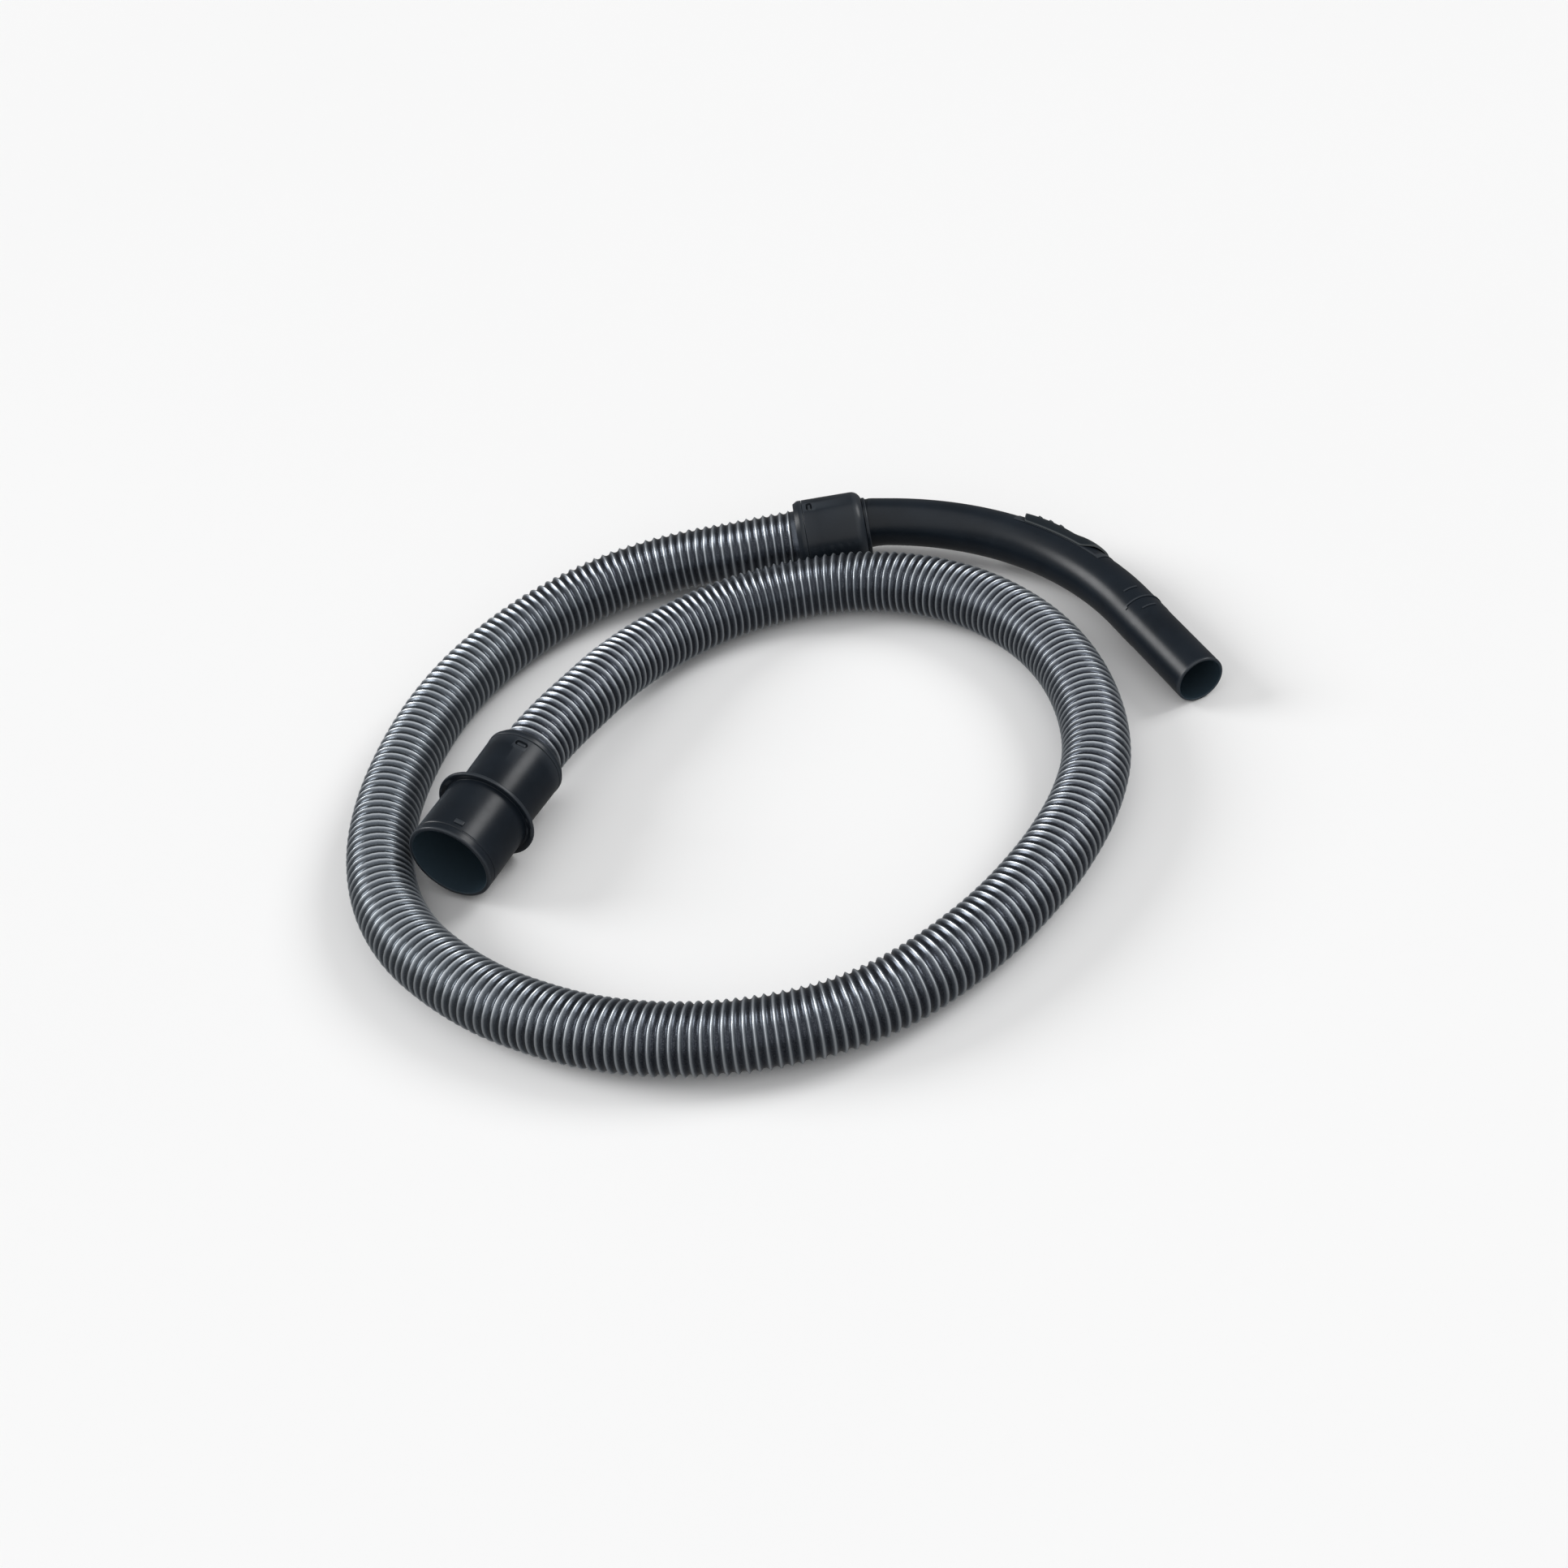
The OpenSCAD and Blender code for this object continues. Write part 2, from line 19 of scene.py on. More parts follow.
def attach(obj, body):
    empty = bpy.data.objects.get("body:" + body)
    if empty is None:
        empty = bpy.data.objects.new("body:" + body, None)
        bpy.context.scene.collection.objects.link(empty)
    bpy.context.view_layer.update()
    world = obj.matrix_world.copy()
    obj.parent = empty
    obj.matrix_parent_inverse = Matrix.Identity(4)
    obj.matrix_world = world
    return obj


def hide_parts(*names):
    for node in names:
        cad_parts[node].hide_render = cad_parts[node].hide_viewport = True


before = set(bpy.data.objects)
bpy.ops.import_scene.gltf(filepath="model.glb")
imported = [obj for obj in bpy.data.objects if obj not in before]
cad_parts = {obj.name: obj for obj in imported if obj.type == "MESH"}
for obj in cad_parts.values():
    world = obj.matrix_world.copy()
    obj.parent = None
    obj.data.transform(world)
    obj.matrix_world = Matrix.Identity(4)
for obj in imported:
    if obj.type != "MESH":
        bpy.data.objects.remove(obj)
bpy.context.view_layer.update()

MM = 0.001
UPWARDS = (0.0, 0.0, 1.0)
TINY = 1e-9
ROUND_SIDES = 96
SNAP_SIDES = (0.0, 180.0)
RIB_ATTRIBUTE = "rib"
VALLEY_LIGHT_ATTRIBUTE = "valley_light_share"
BORE_LIGHT_ATTRIBUTE = "bore_light"
# A Mix node's sockets repeat their names for each data type, and these are the colour ones.
MIX_ONE, MIX_TWO, MIX_RESULT = 6, 7, 2
log = logging.getLogger("hose_scene")

Point = tuple[float, float]
Span = tuple[float, float]
Place = tuple[float, float, float]
Size = tuple[float, float, float]
Colour = tuple[float, float, float]


class Body(Enum):
    """The moving bodies that a piece can ride on."""

    HOSE = "hose"
    GRIP = "grip"
    SLIDER = "slider"
    CONNECTOR = "connector"


class Slot(Enum):
    """The material slots of the part's record."""

    HOSE = "hose_plastic"
    BLACK = "black_plastic"
    NUT = "nut_plastic"
    SEAL = "seal_rubber"


# ---------------------------------------------------------------- finishes


class Graph:
    """A material's node tree, with short ways to add and join nodes."""

    def __init__(self, name: str) -> None:
        """Starts an empty tree that ends in a Principled shader.

        Args:
            name: The material's name.
        """
        self.material = bpy.data.materials.new(name)
        self.material.use_nodes = True
        self.tree = self.material.node_tree
        self.shader = self.tree.nodes["Principled BSDF"]
        self.place = self.add("ShaderNodeTexCoord").outputs["Object"]

    def set(self, name: str, value: float) -> None:
        """Sets one of the shader's own sockets."""
        self.shader.inputs[name].default_value = value

    def colour(self, source: bpy.types.NodeSocket) -> None:
        """Joins the finished colour to the shader."""
        self.join(source, self.shader.inputs["Base Color"])

    def roughness(self, source: bpy.types.NodeSocket, low: float, high: float) -> None:
        """Lets a pattern change the shader's roughness between two values."""
        self.join(self.spread(source, low, high), self.shader.inputs["Roughness"])

    def attribute(self, name: str) -> bpy.types.NodeSocket:
        """Reads one of the mesh's own attributes."""
        return self.add("ShaderNodeAttribute", attribute_name=name).outputs["Fac"]

    def add(self, kind: str, **settings: object) -> bpy.types.Node:
        """Adds a node and sets its own properties.

        Args:
            kind: The node's type name.
            settings: Properties of the node, by name.

        Returns:
            The new node.
        """
        node = self.tree.nodes.new(kind)
        for key, value in settings.items():
            setattr(node, key, value)
        return node

    def join(self, source: bpy.types.NodeSocket, target: bpy.types.NodeSocket) -> None:
        """Links one socket to another."""
        self.tree.links.new(source, target)

    def noise(self, size_mm: float, detail: float = 2.0) -> bpy.types.NodeSocket:
        """Adds a noise pattern in object space.

        Args:
            size_mm: Rough size of a grain, in millimetres.
            detail: Number of finer octaves.

        Returns:
            The pattern's value socket.
        """
        node = self.add("ShaderNodeTexNoise")
        node.inputs["Scale"].default_value = 1.0 / (size_mm * MM)
        node.inputs["Detail"].default_value = detail
        self.join(self.place, node.inputs["Vector"])
        return node.outputs["Fac"]

    def ramp(self, source: bpy.types.NodeSocket, stops: Sequence[tuple[float, Colour]]) -> bpy.types.NodeSocket:
        """Turns a value into a colour.

        Args:
            source: The value.
            stops: Pairs of place and colour, from low to high.

        Returns:
            The colour socket.
        """
        node = self.add("ShaderNodeValToRGB")
        marks = node.color_ramp.elements
        while len(marks) < len(stops):
            marks.new(0.5)
        for mark, (place, colour) in zip(marks, stops):
            mark.position = place
            mark.color = (*colour, 1.0)
        self.join(source, node.inputs["Fac"])
        return node.outputs["Color"]

    def mask(self, source: bpy.types.NodeSocket, low: float, high: float, share: float) -> bpy.types.NodeSocket:
        """Turns a value into a share that grows from none at its low level to the full share at its high one."""
        return self.ramp(source, [(low, (0.0,) * 3), (high, (share,) * 3)])

    def spread(self, source: bpy.types.NodeSocket, low: float, high: float) -> bpy.types.NodeSocket:
        """Maps a 0 to 1 value to a range.

        Args:
            source: The value.
            low: What 0 becomes.
            high: What 1 becomes.

        Returns:
            The mapped value socket.
        """
        node = self.add("ShaderNodeMapRange")
        node.inputs["To Min"].default_value = low
        node.inputs["To Max"].default_value = high
        self.join(source, node.inputs["Value"])
        return node.outputs["Result"]

    def blend(self, amount: bpy.types.NodeSocket, one: bpy.types.NodeSocket, two: Colour) -> bpy.types.NodeSocket:
        """Mixes a colour socket towards a plain colour.

        Args:
            amount: How much of the plain colour shows.
            one: The colour at amount 0.
            two: The plain colour.

        Returns:
            The mixed colour socket.
        """
        node = self.add("ShaderNodeMix", data_type="RGBA")
        self.join(amount, node.inputs["Factor"])
        self.join(one, node.inputs[MIX_ONE])
        node.inputs[MIX_TWO].default_value = (*two, 1.0)
        return node.outputs[MIX_RESULT]

    def bumps(self, height: bpy.types.NodeSocket, depth_mm: float, strength: float) -> None:
        """Gives the shader a bump map.

        Args:
            height: The height pattern.
            depth_mm: Real depth of the pattern.
            strength: Share of the bump that shows.
        """
        node = self.add("ShaderNodeBump")
        node.inputs["Strength"].default_value = strength
        node.inputs["Distance"].default_value = depth_mm * MM
        self.join(height, node.inputs["Height"])
        self.join(node.outputs["Normal"], self.shader.inputs["Normal"])


@dataclass(frozen=True)
class MouldedPlastic:
    """Dyed moulded plastic with a fine spark-eroded grain, and a painted highlight that lightens its sharp edges."""

    name: str
    dark: Colour
    light: Colour
    edge_highlight: Colour
    smooth: float
    rough: float
    grain_mm: float = 0.35
    grain_depth_mm: float = 0.03
    grain_share: float = 0.35
    cloud_mm: float = 22.0
    cloud_levels: Span = (0.3, 0.72)
    edge_highlight_levels: Span = (0.508, 0.523)
    edge_highlight_share: float = 0.6
    polish_mm: float = 6.0
    shine: float = 0.5
    bore_light: Colour = (0.033, 0.053, 0.07)

    def material(self) -> bpy.types.Material:
        """Builds the finish. Where the mesh has a bore light share, the bore is lightened with painted light.

        Returns:
            The new material.
        """
        graph = Graph(self.name)
        cloud = graph.noise(self.cloud_mm, 3.0)
        colour = graph.ramp(cloud, list(zip(self.cloud_levels, (self.dark, self.light))))
        # Painted highlight: sharp edges, found by pointiness, are lightened towards the edge colour.
        edge = graph.add("ShaderNodeNewGeometry").outputs["Pointiness"]
        colour = graph.blend(graph.mask(edge, *self.edge_highlight_levels, self.edge_highlight_share), colour, self.edge_highlight)
        # Painted light: the bore is lightened where the mesh's share says, as if light fell into it.
        graph.colour(graph.blend(graph.attribute(BORE_LIGHT_ATTRIBUTE), colour, self.bore_light))
        graph.roughness(graph.noise(self.polish_mm, 4.0), self.smooth, self.rough)
        graph.set("Specular IOR Level", self.shine)
        graph.bumps(graph.noise(self.grain_mm, 1.0), self.grain_depth_mm, self.grain_share)
        return graph.material


@dataclass(frozen=True)
class HosePlastic:
    """Metallic grey hose plastic, coloured by rib height: painted shade darkens the valleys, a painted highlight
    lights the crests, and painted light lifts the valleys of one stretch.
    """

    name: str
    valley_shade: Colour
    flank: Colour
    crest_highlight: Colour
    valley_light: Colour
    metal: float
    smooth: float
    rough: float
    rib_levels: tuple[float, float, float] = (0.0, 0.45, 0.9)
    flake_mm: float = 0.6
    flake_levels: Span = (0.4, 0.8)
    flake_share: float = 0.12
    valley_light_peak: float = 0.14
    cloud_mm: float = 60.0
    cloud_levels: Span = (0.45, 0.8)
    cloud_share: float = 0.2
    polish_mm: float = 9.0
    skin_mm: float = 2.0
    skin_depth_mm: float = 0.01
    skin_share: float = 0.06

    def material(self) -> bpy.types.Material:
        """Builds the finish from the mesh's rib height and valley light attributes.

        Returns:
            The new material.
        """
        graph = Graph(self.name)
        # Painted light and shade: the colour follows the rib's height, from dark valleys to bright crests.
        tones = (self.valley_shade, self.flank, self.crest_highlight)
        colour = graph.ramp(graph.attribute(RIB_ATTRIBUTE), list(zip(self.rib_levels, tones)))
        flake = graph.mask(graph.noise(self.flake_mm, 1.0), *self.flake_levels, self.flake_share)
        colour = graph.blend(flake, colour, self.crest_highlight)
        # Painted light: in one stretch of the loop the valleys are lifted towards a lighter tone.
        valley_light_share = graph.spread(graph.attribute(VALLEY_LIGHT_ATTRIBUTE), 0.0, self.valley_light_peak)
        colour = graph.blend(valley_light_share, colour, self.valley_light)
        cloud = graph.mask(graph.noise(self.cloud_mm, 4.0), *self.cloud_levels, self.cloud_share)
        graph.colour(graph.blend(cloud, colour, self.flank))
        graph.set("Metallic", self.metal)
        graph.roughness(graph.noise(self.polish_mm, 3.0), self.smooth, self.rough)
        graph.bumps(graph.noise(self.skin_mm, 1.0), self.skin_depth_mm, self.skin_share)
        return graph.material


@dataclass(frozen=True)
class SealRubber:
    """Matt black rubber with a fine skin."""

    name: str
    colour: Colour
    roughness: float
    cloud_mm: float = 4.0
    cloud_levels: Span = (0.3, 0.8)
    cloud_gain: float = 1.6
    skin_mm: float = 0.4
    skin_depth_mm: float = 0.02
    skin_share: float = 0.3

    def material(self) -> bpy.types.Material:
        """Builds the finish.

        Returns:
            The new material.
        """
        graph = Graph(self.name)
        light = tuple(self.cloud_gain * c for c in self.colour)
        graph.colour(graph.ramp(graph.noise(self.cloud_mm), list(zip(self.cloud_levels, (self.colour, light)))))
        graph.set("Roughness", self.roughness)
        graph.bumps(graph.noise(self.skin_mm), self.skin_depth_mm, self.skin_share)
        return graph.material


# The edge colour of each plastic is a painted highlight on its sharp edges.
BLACK_PLASTIC = MouldedPlastic(
    "black_grip_plastic",
    dark=(0.006, 0.0095, 0.0145),
    light=(0.0095, 0.0145, 0.0215),
    edge_highlight=(0.05, 0.058, 0.068),
    smooth=0.29,
    rough=0.37,
    shine=0.32,
)
SLIDER_PLASTIC = MouldedPlastic(
    "black_slider_plastic",
    dark=(0.007, 0.0115, 0.0155),
    light=(0.0105, 0.016, 0.0215),
    edge_highlight=(0.15, 0.165, 0.17),
    smooth=0.34,
    rough=0.44,
    shine=0.3,
)
NUT_PLASTIC = MouldedPlastic(
    "dark_nut_plastic",
    dark=(0.02, 0.021, 0.024),
    light=(0.03, 0.031, 0.035),
    edge_highlight=(0.06, 0.06, 0.065),
    smooth=0.4,
    rough=0.5,
)
GREY_HOSE = HosePlastic(
    "metallic_grey_hose_plastic",
    valley_shade=(0.012, 0.015, 0.024),
    flank=(0.1, 0.115, 0.14),
    crest_highlight=(0.55, 0.59, 0.63),
    valley_light=(0.26, 0.31, 0.33),
    metal=0.8,
    smooth=0.28,
    rough=0.34,
)
RING_RUBBER = SealRubber("black_seal_rubber", (0.008, 0.008, 0.008), 0.8)


# ---------------------------------------------------------------- modelling tools


def deselect_all() -> None:
    """Leaves edit mode and deselects every object."""
    if bpy.context.object and bpy.context.object.mode != "OBJECT":
        bpy.ops.object.mode_set(mode="OBJECT")
    bpy.ops.object.select_all(action="DESELECT")


def pick(piece: bpy.types.Object) -> None:
    """Makes one object the only selected and active one.

    Args:
        piece: The object.
    """
    deselect_all()
    piece.select_set(True)
    bpy.context.view_layer.objects.active = piece


def open_mesh() -> None:
    """Enters edit mode on the active object with all of its mesh selected."""
    bpy.ops.object.mode_set(mode="EDIT")
    bpy.ops.mesh.select_all(action="SELECT")


def close_mesh() -> None:
    """Turns all faces of the open mesh outwards and leaves edit mode."""
    bpy.ops.mesh.select_all(action="SELECT")
    bpy.ops.mesh.normals_make_consistent(inside=False)
    bpy.ops.object.mode_set(mode="OBJECT")


def fix_transform(piece: bpy.types.Object) -> None:
    """Moves an object's place, turn and size into its mesh."""
    pick(piece)
    bpy.ops.object.transform_apply(location=True, rotation=True, scale=True)


def set_down(piece: bpy.types.Object, place: Matrix, finish: bpy.types.Material, body: Body) -> None:
    """Finishes a piece: millimetres to metres, its place on the part, its material and body.

    Args:
        piece: The piece, modelled in millimetres in its own frame.
        place: Where that frame stands on the part, in metres.
        finish: The material.
        body: The body that it rides on.
    """
    piece.matrix_world = place @ Matrix.Scale(MM, 4)
    fix_transform(piece)
    piece.data.materials.clear()
    piece.data.materials.append(finish)
    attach(piece, body.value)
    log.info("%s: %d faces, rides on %s", piece.name, len(piece.data.polygons), body.value)


def laid_out(name: str, points: Sequence[Sequence[float]], faces: Sequence[Sequence[int]]) -> bpy.types.Object:
    """Makes a closed piece from points and faces, and turns its faces outwards.

    Args:
        name: Name of the piece.
        points: Its points.
        faces: Its faces, as point numbers.

    Returns:
        The piece.
    """
    mesh = bpy.data.meshes.new(name)
    mesh.from_pydata(points, [], faces)
    piece = bpy.data.objects.new(name, mesh)
    bpy.context.scene.collection.objects.link(piece)
    pick(piece)
    open_mesh()
    close_mesh()
    return piece


def lay_share(piece: bpy.types.Object, name: str, shares: Sequence[float]) -> None:
    """Writes an attribute that a finish reads, with a share from 0 to 1 for each point of the mesh."""
    piece.data.attributes.new(name, "FLOAT", "POINT").data.foreach_set("value", shares)


def smooth(piece: bpy.types.Object, angle_deg: float) -> None:
    """Shades a piece smooth up to an angle between faces."""
    pick(piece)
    bpy.ops.object.shade_smooth_by_angle(angle=math.radians(angle_deg))


def apply_boolean(piece: bpy.types.Object, other: bpy.types.Object, operation: str) -> None:
    """Cuts or adds a closed solid and removes it.

    Args:
        piece: The piece that stays.
        other: The solid that is used up.
        operation: DIFFERENCE or UNION.
    """
    change = piece.modifiers.new(operation.lower(), "BOOLEAN")
    change.operation = operation
    change.object = other
    change.solver = "EXACT"
    pick(piece)
    bpy.ops.object.modifier_apply(modifier=change.name)
    bpy.data.objects.remove(other, do_unlink=True)


def rounded(corners: Sequence[tuple[float, float, float]], steps: int = 5) -> list[Point]:
    """Draws an outline whose corners are rounded off.

    Args:
        corners: Triples of place along the axis, radius and rounding of the corner.
        steps: Number of edges on each rounding.

    Returns:
        The points of the outline.
    """
    points: list[Point] = []
    for index, (x, r, fillet) in enumerate(corners):
        if fillet == 0 or index in (0, len(corners) - 1):
            points.append((x, r))
            continue
        corner = Vector((x, r))
        back = (Vector(corners[index - 1][:2]) - corner).normalized()
        on = (Vector(corners[index + 1][:2]) - corner).normalized()
        half = back.angle(on) / 2
        centre = corner + (back + on).normalized() * (fillet / math.sin(half))
        reach = fillet / math.tan(half)
        first = corner + back * reach - centre
        last = corner + on * reach - centre
        start = math.atan2(first.y, first.x)
        turn = math.remainder(math.atan2(last.y, last.x) - start, 2 * math.pi)
        for k in range(steps + 1):
            angle = start + turn * k / steps
            points.append((centre.x + fillet * math.cos(angle), centre.y + fillet * math.sin(angle)))
    return points


@dataclass(frozen=True)
class Ring:
    """One ring of a skin: its centre in the XY plane, its radius and the heading of its axis in radians."""

    x: float
    y: float
    radius: float
    heading: float = 0.0


class RingChain:
    """A round skin grown ring by ring in edit mode, as an edge loop is extruded by hand."""

    def __init__(self, name: str, sides: int, first: Ring) -> None:
        """Starts the chain with one open ring.

        Args:
            name: Name of the piece.
            sides: Number of vertices in a ring.
            first: The first ring.
        """
        deselect_all()
        bpy.ops.mesh.primitive_circle_add(
            vertices=sides,
            radius=first.radius,
            fill_type="NOTHING",
            location=(first.x, first.y, 0.0),
            rotation=(0.0, math.pi / 2, first.heading),
        )
        self.piece = bpy.context.object
        self.piece.name = self.piece.data.name = name
        fix_transform(self.piece)
        bpy.ops.object.mode_set(mode="EDIT")
        bpy.ops.mesh.select_mode(type="VERT")
        bpy.ops.mesh.select_all(action="SELECT")
        self.last = first

    def to(self, ring: Ring) -> None:
        """Extrudes the open end to a new ring.

        Args:
            ring: Where the end goes.
        """
        shift = (ring.x - self.last.x, ring.y - self.last.y, 0.0)
        bpy.ops.mesh.extrude_region_move(TRANSFORM_OT_translate={"value": shift})
        centre = (ring.x, ring.y, 0.0)
        grow = ring.radius / self.last.radius
        if abs(grow - 1) > TINY:
            bpy.ops.transform.resize(value=(grow, grow, grow), center_override=centre)
        turn = ring.heading - self.last.heading
        if abs(turn) > TINY:
            # With no window the operator turns the other way.
            bpy.ops.transform.rotate(value=-turn, orient_axis="Z", orient_type="GLOBAL", center_override=centre)
        self.last = ring

    def through(self, rings: Iterable[Ring]) -> None:
        """Extrudes the open end through several rings."""
        for ring in rings:
            self.to(ring)

    def close(self) -> bpy.types.Object:
        """Bridges the two open ends to one closed skin.

        Returns:
            The finished object.
        """
        bpy.ops.mesh.select_all(action="DESELECT")
        bpy.ops.mesh.select_non_manifold()
        bpy.ops.mesh.bridge_edge_loops()
        close_mesh()
        return self.piece


def turned(name: str, outline: Sequence[Point], sides: int = ROUND_SIDES) -> bpy.types.Object:
    """Models a round piece from a closed outline about the first axis.

    Args:
        name: Name of the piece.
        outline: Points of place along the axis and radius.
        sides: Number of vertices in a ring.

    Returns:
        The piece, with its transform applied.
    """
    first, *others = [Ring(x, 0.0, r) for x, r in outline]
    chain = RingChain(name, sides, first)
    chain.through(others)
    return chain.close()


def block(name: str, size: Sequence[float], centre: Sequence[float], rounding: float) -> bpy.types.Object:
    """Models a block with rounded edges.

    Args:
        name: Name of the piece.
        size: Lengths along X, Y and Z.
        centre: Its middle.
        rounding: Radius of the edges.

    Returns:
        The block.
    """
    deselect_all()
    bpy.ops.mesh.primitive_cube_add(size=1.0, location=centre, scale=size)
    piece = bpy.context.object
    piece.name = name
    fix_transform(piece)
    open_mesh()
    bpy.ops.mesh.bevel(offset=rounding, segments=3, affect="EDGES")
    bpy.ops.object.mode_set(mode="OBJECT")
    return piece


def sweep(axis: str, centre: Place, turn: float, steps: int) -> None:
    """Sweeps the active flat section round an axis to a closed bar.

    Args:
        axis: Name of the axis.
        centre: A point of the axis.
        turn: Angle of the sweep, in radians, counted backwards as the operator does with no window.
        steps: Number of stretches.
    """
    open_mesh()
    for _ in range(steps):
        bpy.ops.mesh.extrude_region_move()
        bpy.ops.transform.rotate(
            value=turn / steps, orient_axis=axis, orient_type="GLOBAL", center_override=centre
        )
    close_mesh()


def ease(value: float, start: float, finish: float) -> float:
    """Smooth step from 0 at the start to 1 at the finish."""
    share = min(1.0, max(0.0, (value - start) / (finish - start)))
    return share * share * (3 - 2 * share)


def turn_about_axis(piece: bpy.types.Object, degrees: float) -> None:
    """Turns a piece about the first axis and applies the turn."""
    piece.matrix_world = Matrix.Rotation(math.radians(degrees), 4, "X") @ piece.matrix_world
    fix_transform(piece)


# ---------------------------------------------------------------- hose


@dataclass
class HoseLine:
    """Centreline of the hose: two straight ends in the caps and a smooth curve through the route between them."""

    grip_face: Place = (16.0, 124.7, 25.4)
    grip_heading: float = -3.0
    machine_face: Place = (-177.0, -58.0, 31.8)
    machine_heading: float = 238.0
    inside: float = 32.5
    straight: float = 9.0
    samples: int = 24
    reach: float = 3.0
    route: tuple[Place, ...] = (
        (-30, 126, 25.4), (-66, 129, 24), (-102, 127, 22), (-135, 117, 20.5), (-166, 100, 20),
        (-194, 77, 20), (-219, 49, 20), (-240, 15, 20), (-256, -23, 20), (-267, -64, 20),
        (-271, -105, 20), (-266, -147, 20), (-252, -184, 20), (-231, -215, 20), (-207, -241, 20),
        (-182, -261, 20), (-157, -277, 20), (-131, -289, 20), (-106, -297, 20), (-81, -302, 20),
        (-55, -304, 20), (-29, -303, 20), (-4, -298, 20), (20, -289, 20), (44, -276, 20),
        (69, -259, 20), (93, -238, 20), (116, -213, 20), (137, -183, 20), (153, -148, 20),
        (160, -107, 20), (158, -63, 20), (147, -23, 20), (128, 12, 20), (104, 39, 20),
        (75, 59, 20), (43, 71, 20), (11, 75, 20), (-21, 73, 20), (-52, 64, 21),
        (-82, 48, 23), (-109, 26, 26), (-132, 0, 29.5),
    )  # fmt: skip

    def __post_init__(self) -> None:
        """Samples the line and measures it."""
        out = self._direction(self.grip_heading)
        into = self._direction(self.machine_heading)
        start, finish = np.array(self.grip_face), np.array(self.machine_face)
        knots = np.array([start - self.straight * out, *self.route, finish - self.straight * into])
        slopes = np.zeros_like(knots)
        slopes[1:-1] = (knots[2:] - knots[:-2]) / 2
        slopes[0] = -out * np.linalg.norm(knots[1] - knots[0])
        slopes[-1] = into * np.linalg.norm(knots[-1] - knots[-2])
        share = np.arange(self.samples)[:, None] / self.samples
        square, cube = share**2, share**3
        stretches = [
            (2 * cube - 3 * square + 1) * knots[i]
            + (cube - 2 * square + share) * slopes[i]
            + (3 * square - 2 * cube) * knots[i + 1]
            + (cube - square) * slopes[i + 1]
            for i in range(len(knots) - 1)
        ]
        ends = np.linspace(0, 1, self.samples)[:, None]
        first = start + self.inside * out
        last = finish + self.inside * into
        self.trace = np.vstack(
            [
                first + ends[:-1] * (knots[0] - first),
                *stretches,
                knots[-1] + ends * (last - knots[-1]),
            ]
        )
        steps = np.linalg.norm(np.diff(self.trace, axis=0), axis=1)
        self.run = np.concatenate([[0.0], np.cumsum(steps)])
        self.length = float(self.run[-1])

    @staticmethod
    def _direction(degrees: float) -> np.ndarray:
        """Level unit vector with a heading."""
        angle = math.radians(degrees)
        return np.array([math.cos(angle), math.sin(angle), 0.0])

    def at(self, place: np.ndarray) -> np.ndarray:
        """Points of the line at distances from its start, as one row of X, Y and Z for each."""
        return np.stack([np.interp(place, self.run, self.trace[:, axis]) for axis in range(3)], axis=-1)

    def around(self, place: np.ndarray, angle: np.ndarray, radius: np.ndarray) -> np.ndarray:
        """Points on the hose's skin.

        Args:
            place: Distances from the start.
            angle: Angles round the line, from its right side upwards.
            radius: Distances from the line.

        Returns:
            One row of X, Y and Z for each.
        """
        ahead = self.at(np.minimum(place + self.reach, self.length))
        behind = self.at(np.maximum(place - self.reach, 0.0))
        way = ahead - behind
        way /= np.linalg.norm(way, axis=-1, keepdims=True)
        side = np.cross(way, UPWARDS)
        side /= np.linalg.norm(side, axis=-1, keepdims=True)
        up = np.cross(side, way)
        out = np.cos(angle)[..., None] * side + np.sin(angle)[..., None] * up
        return self.at(place) + radius[..., None] * out


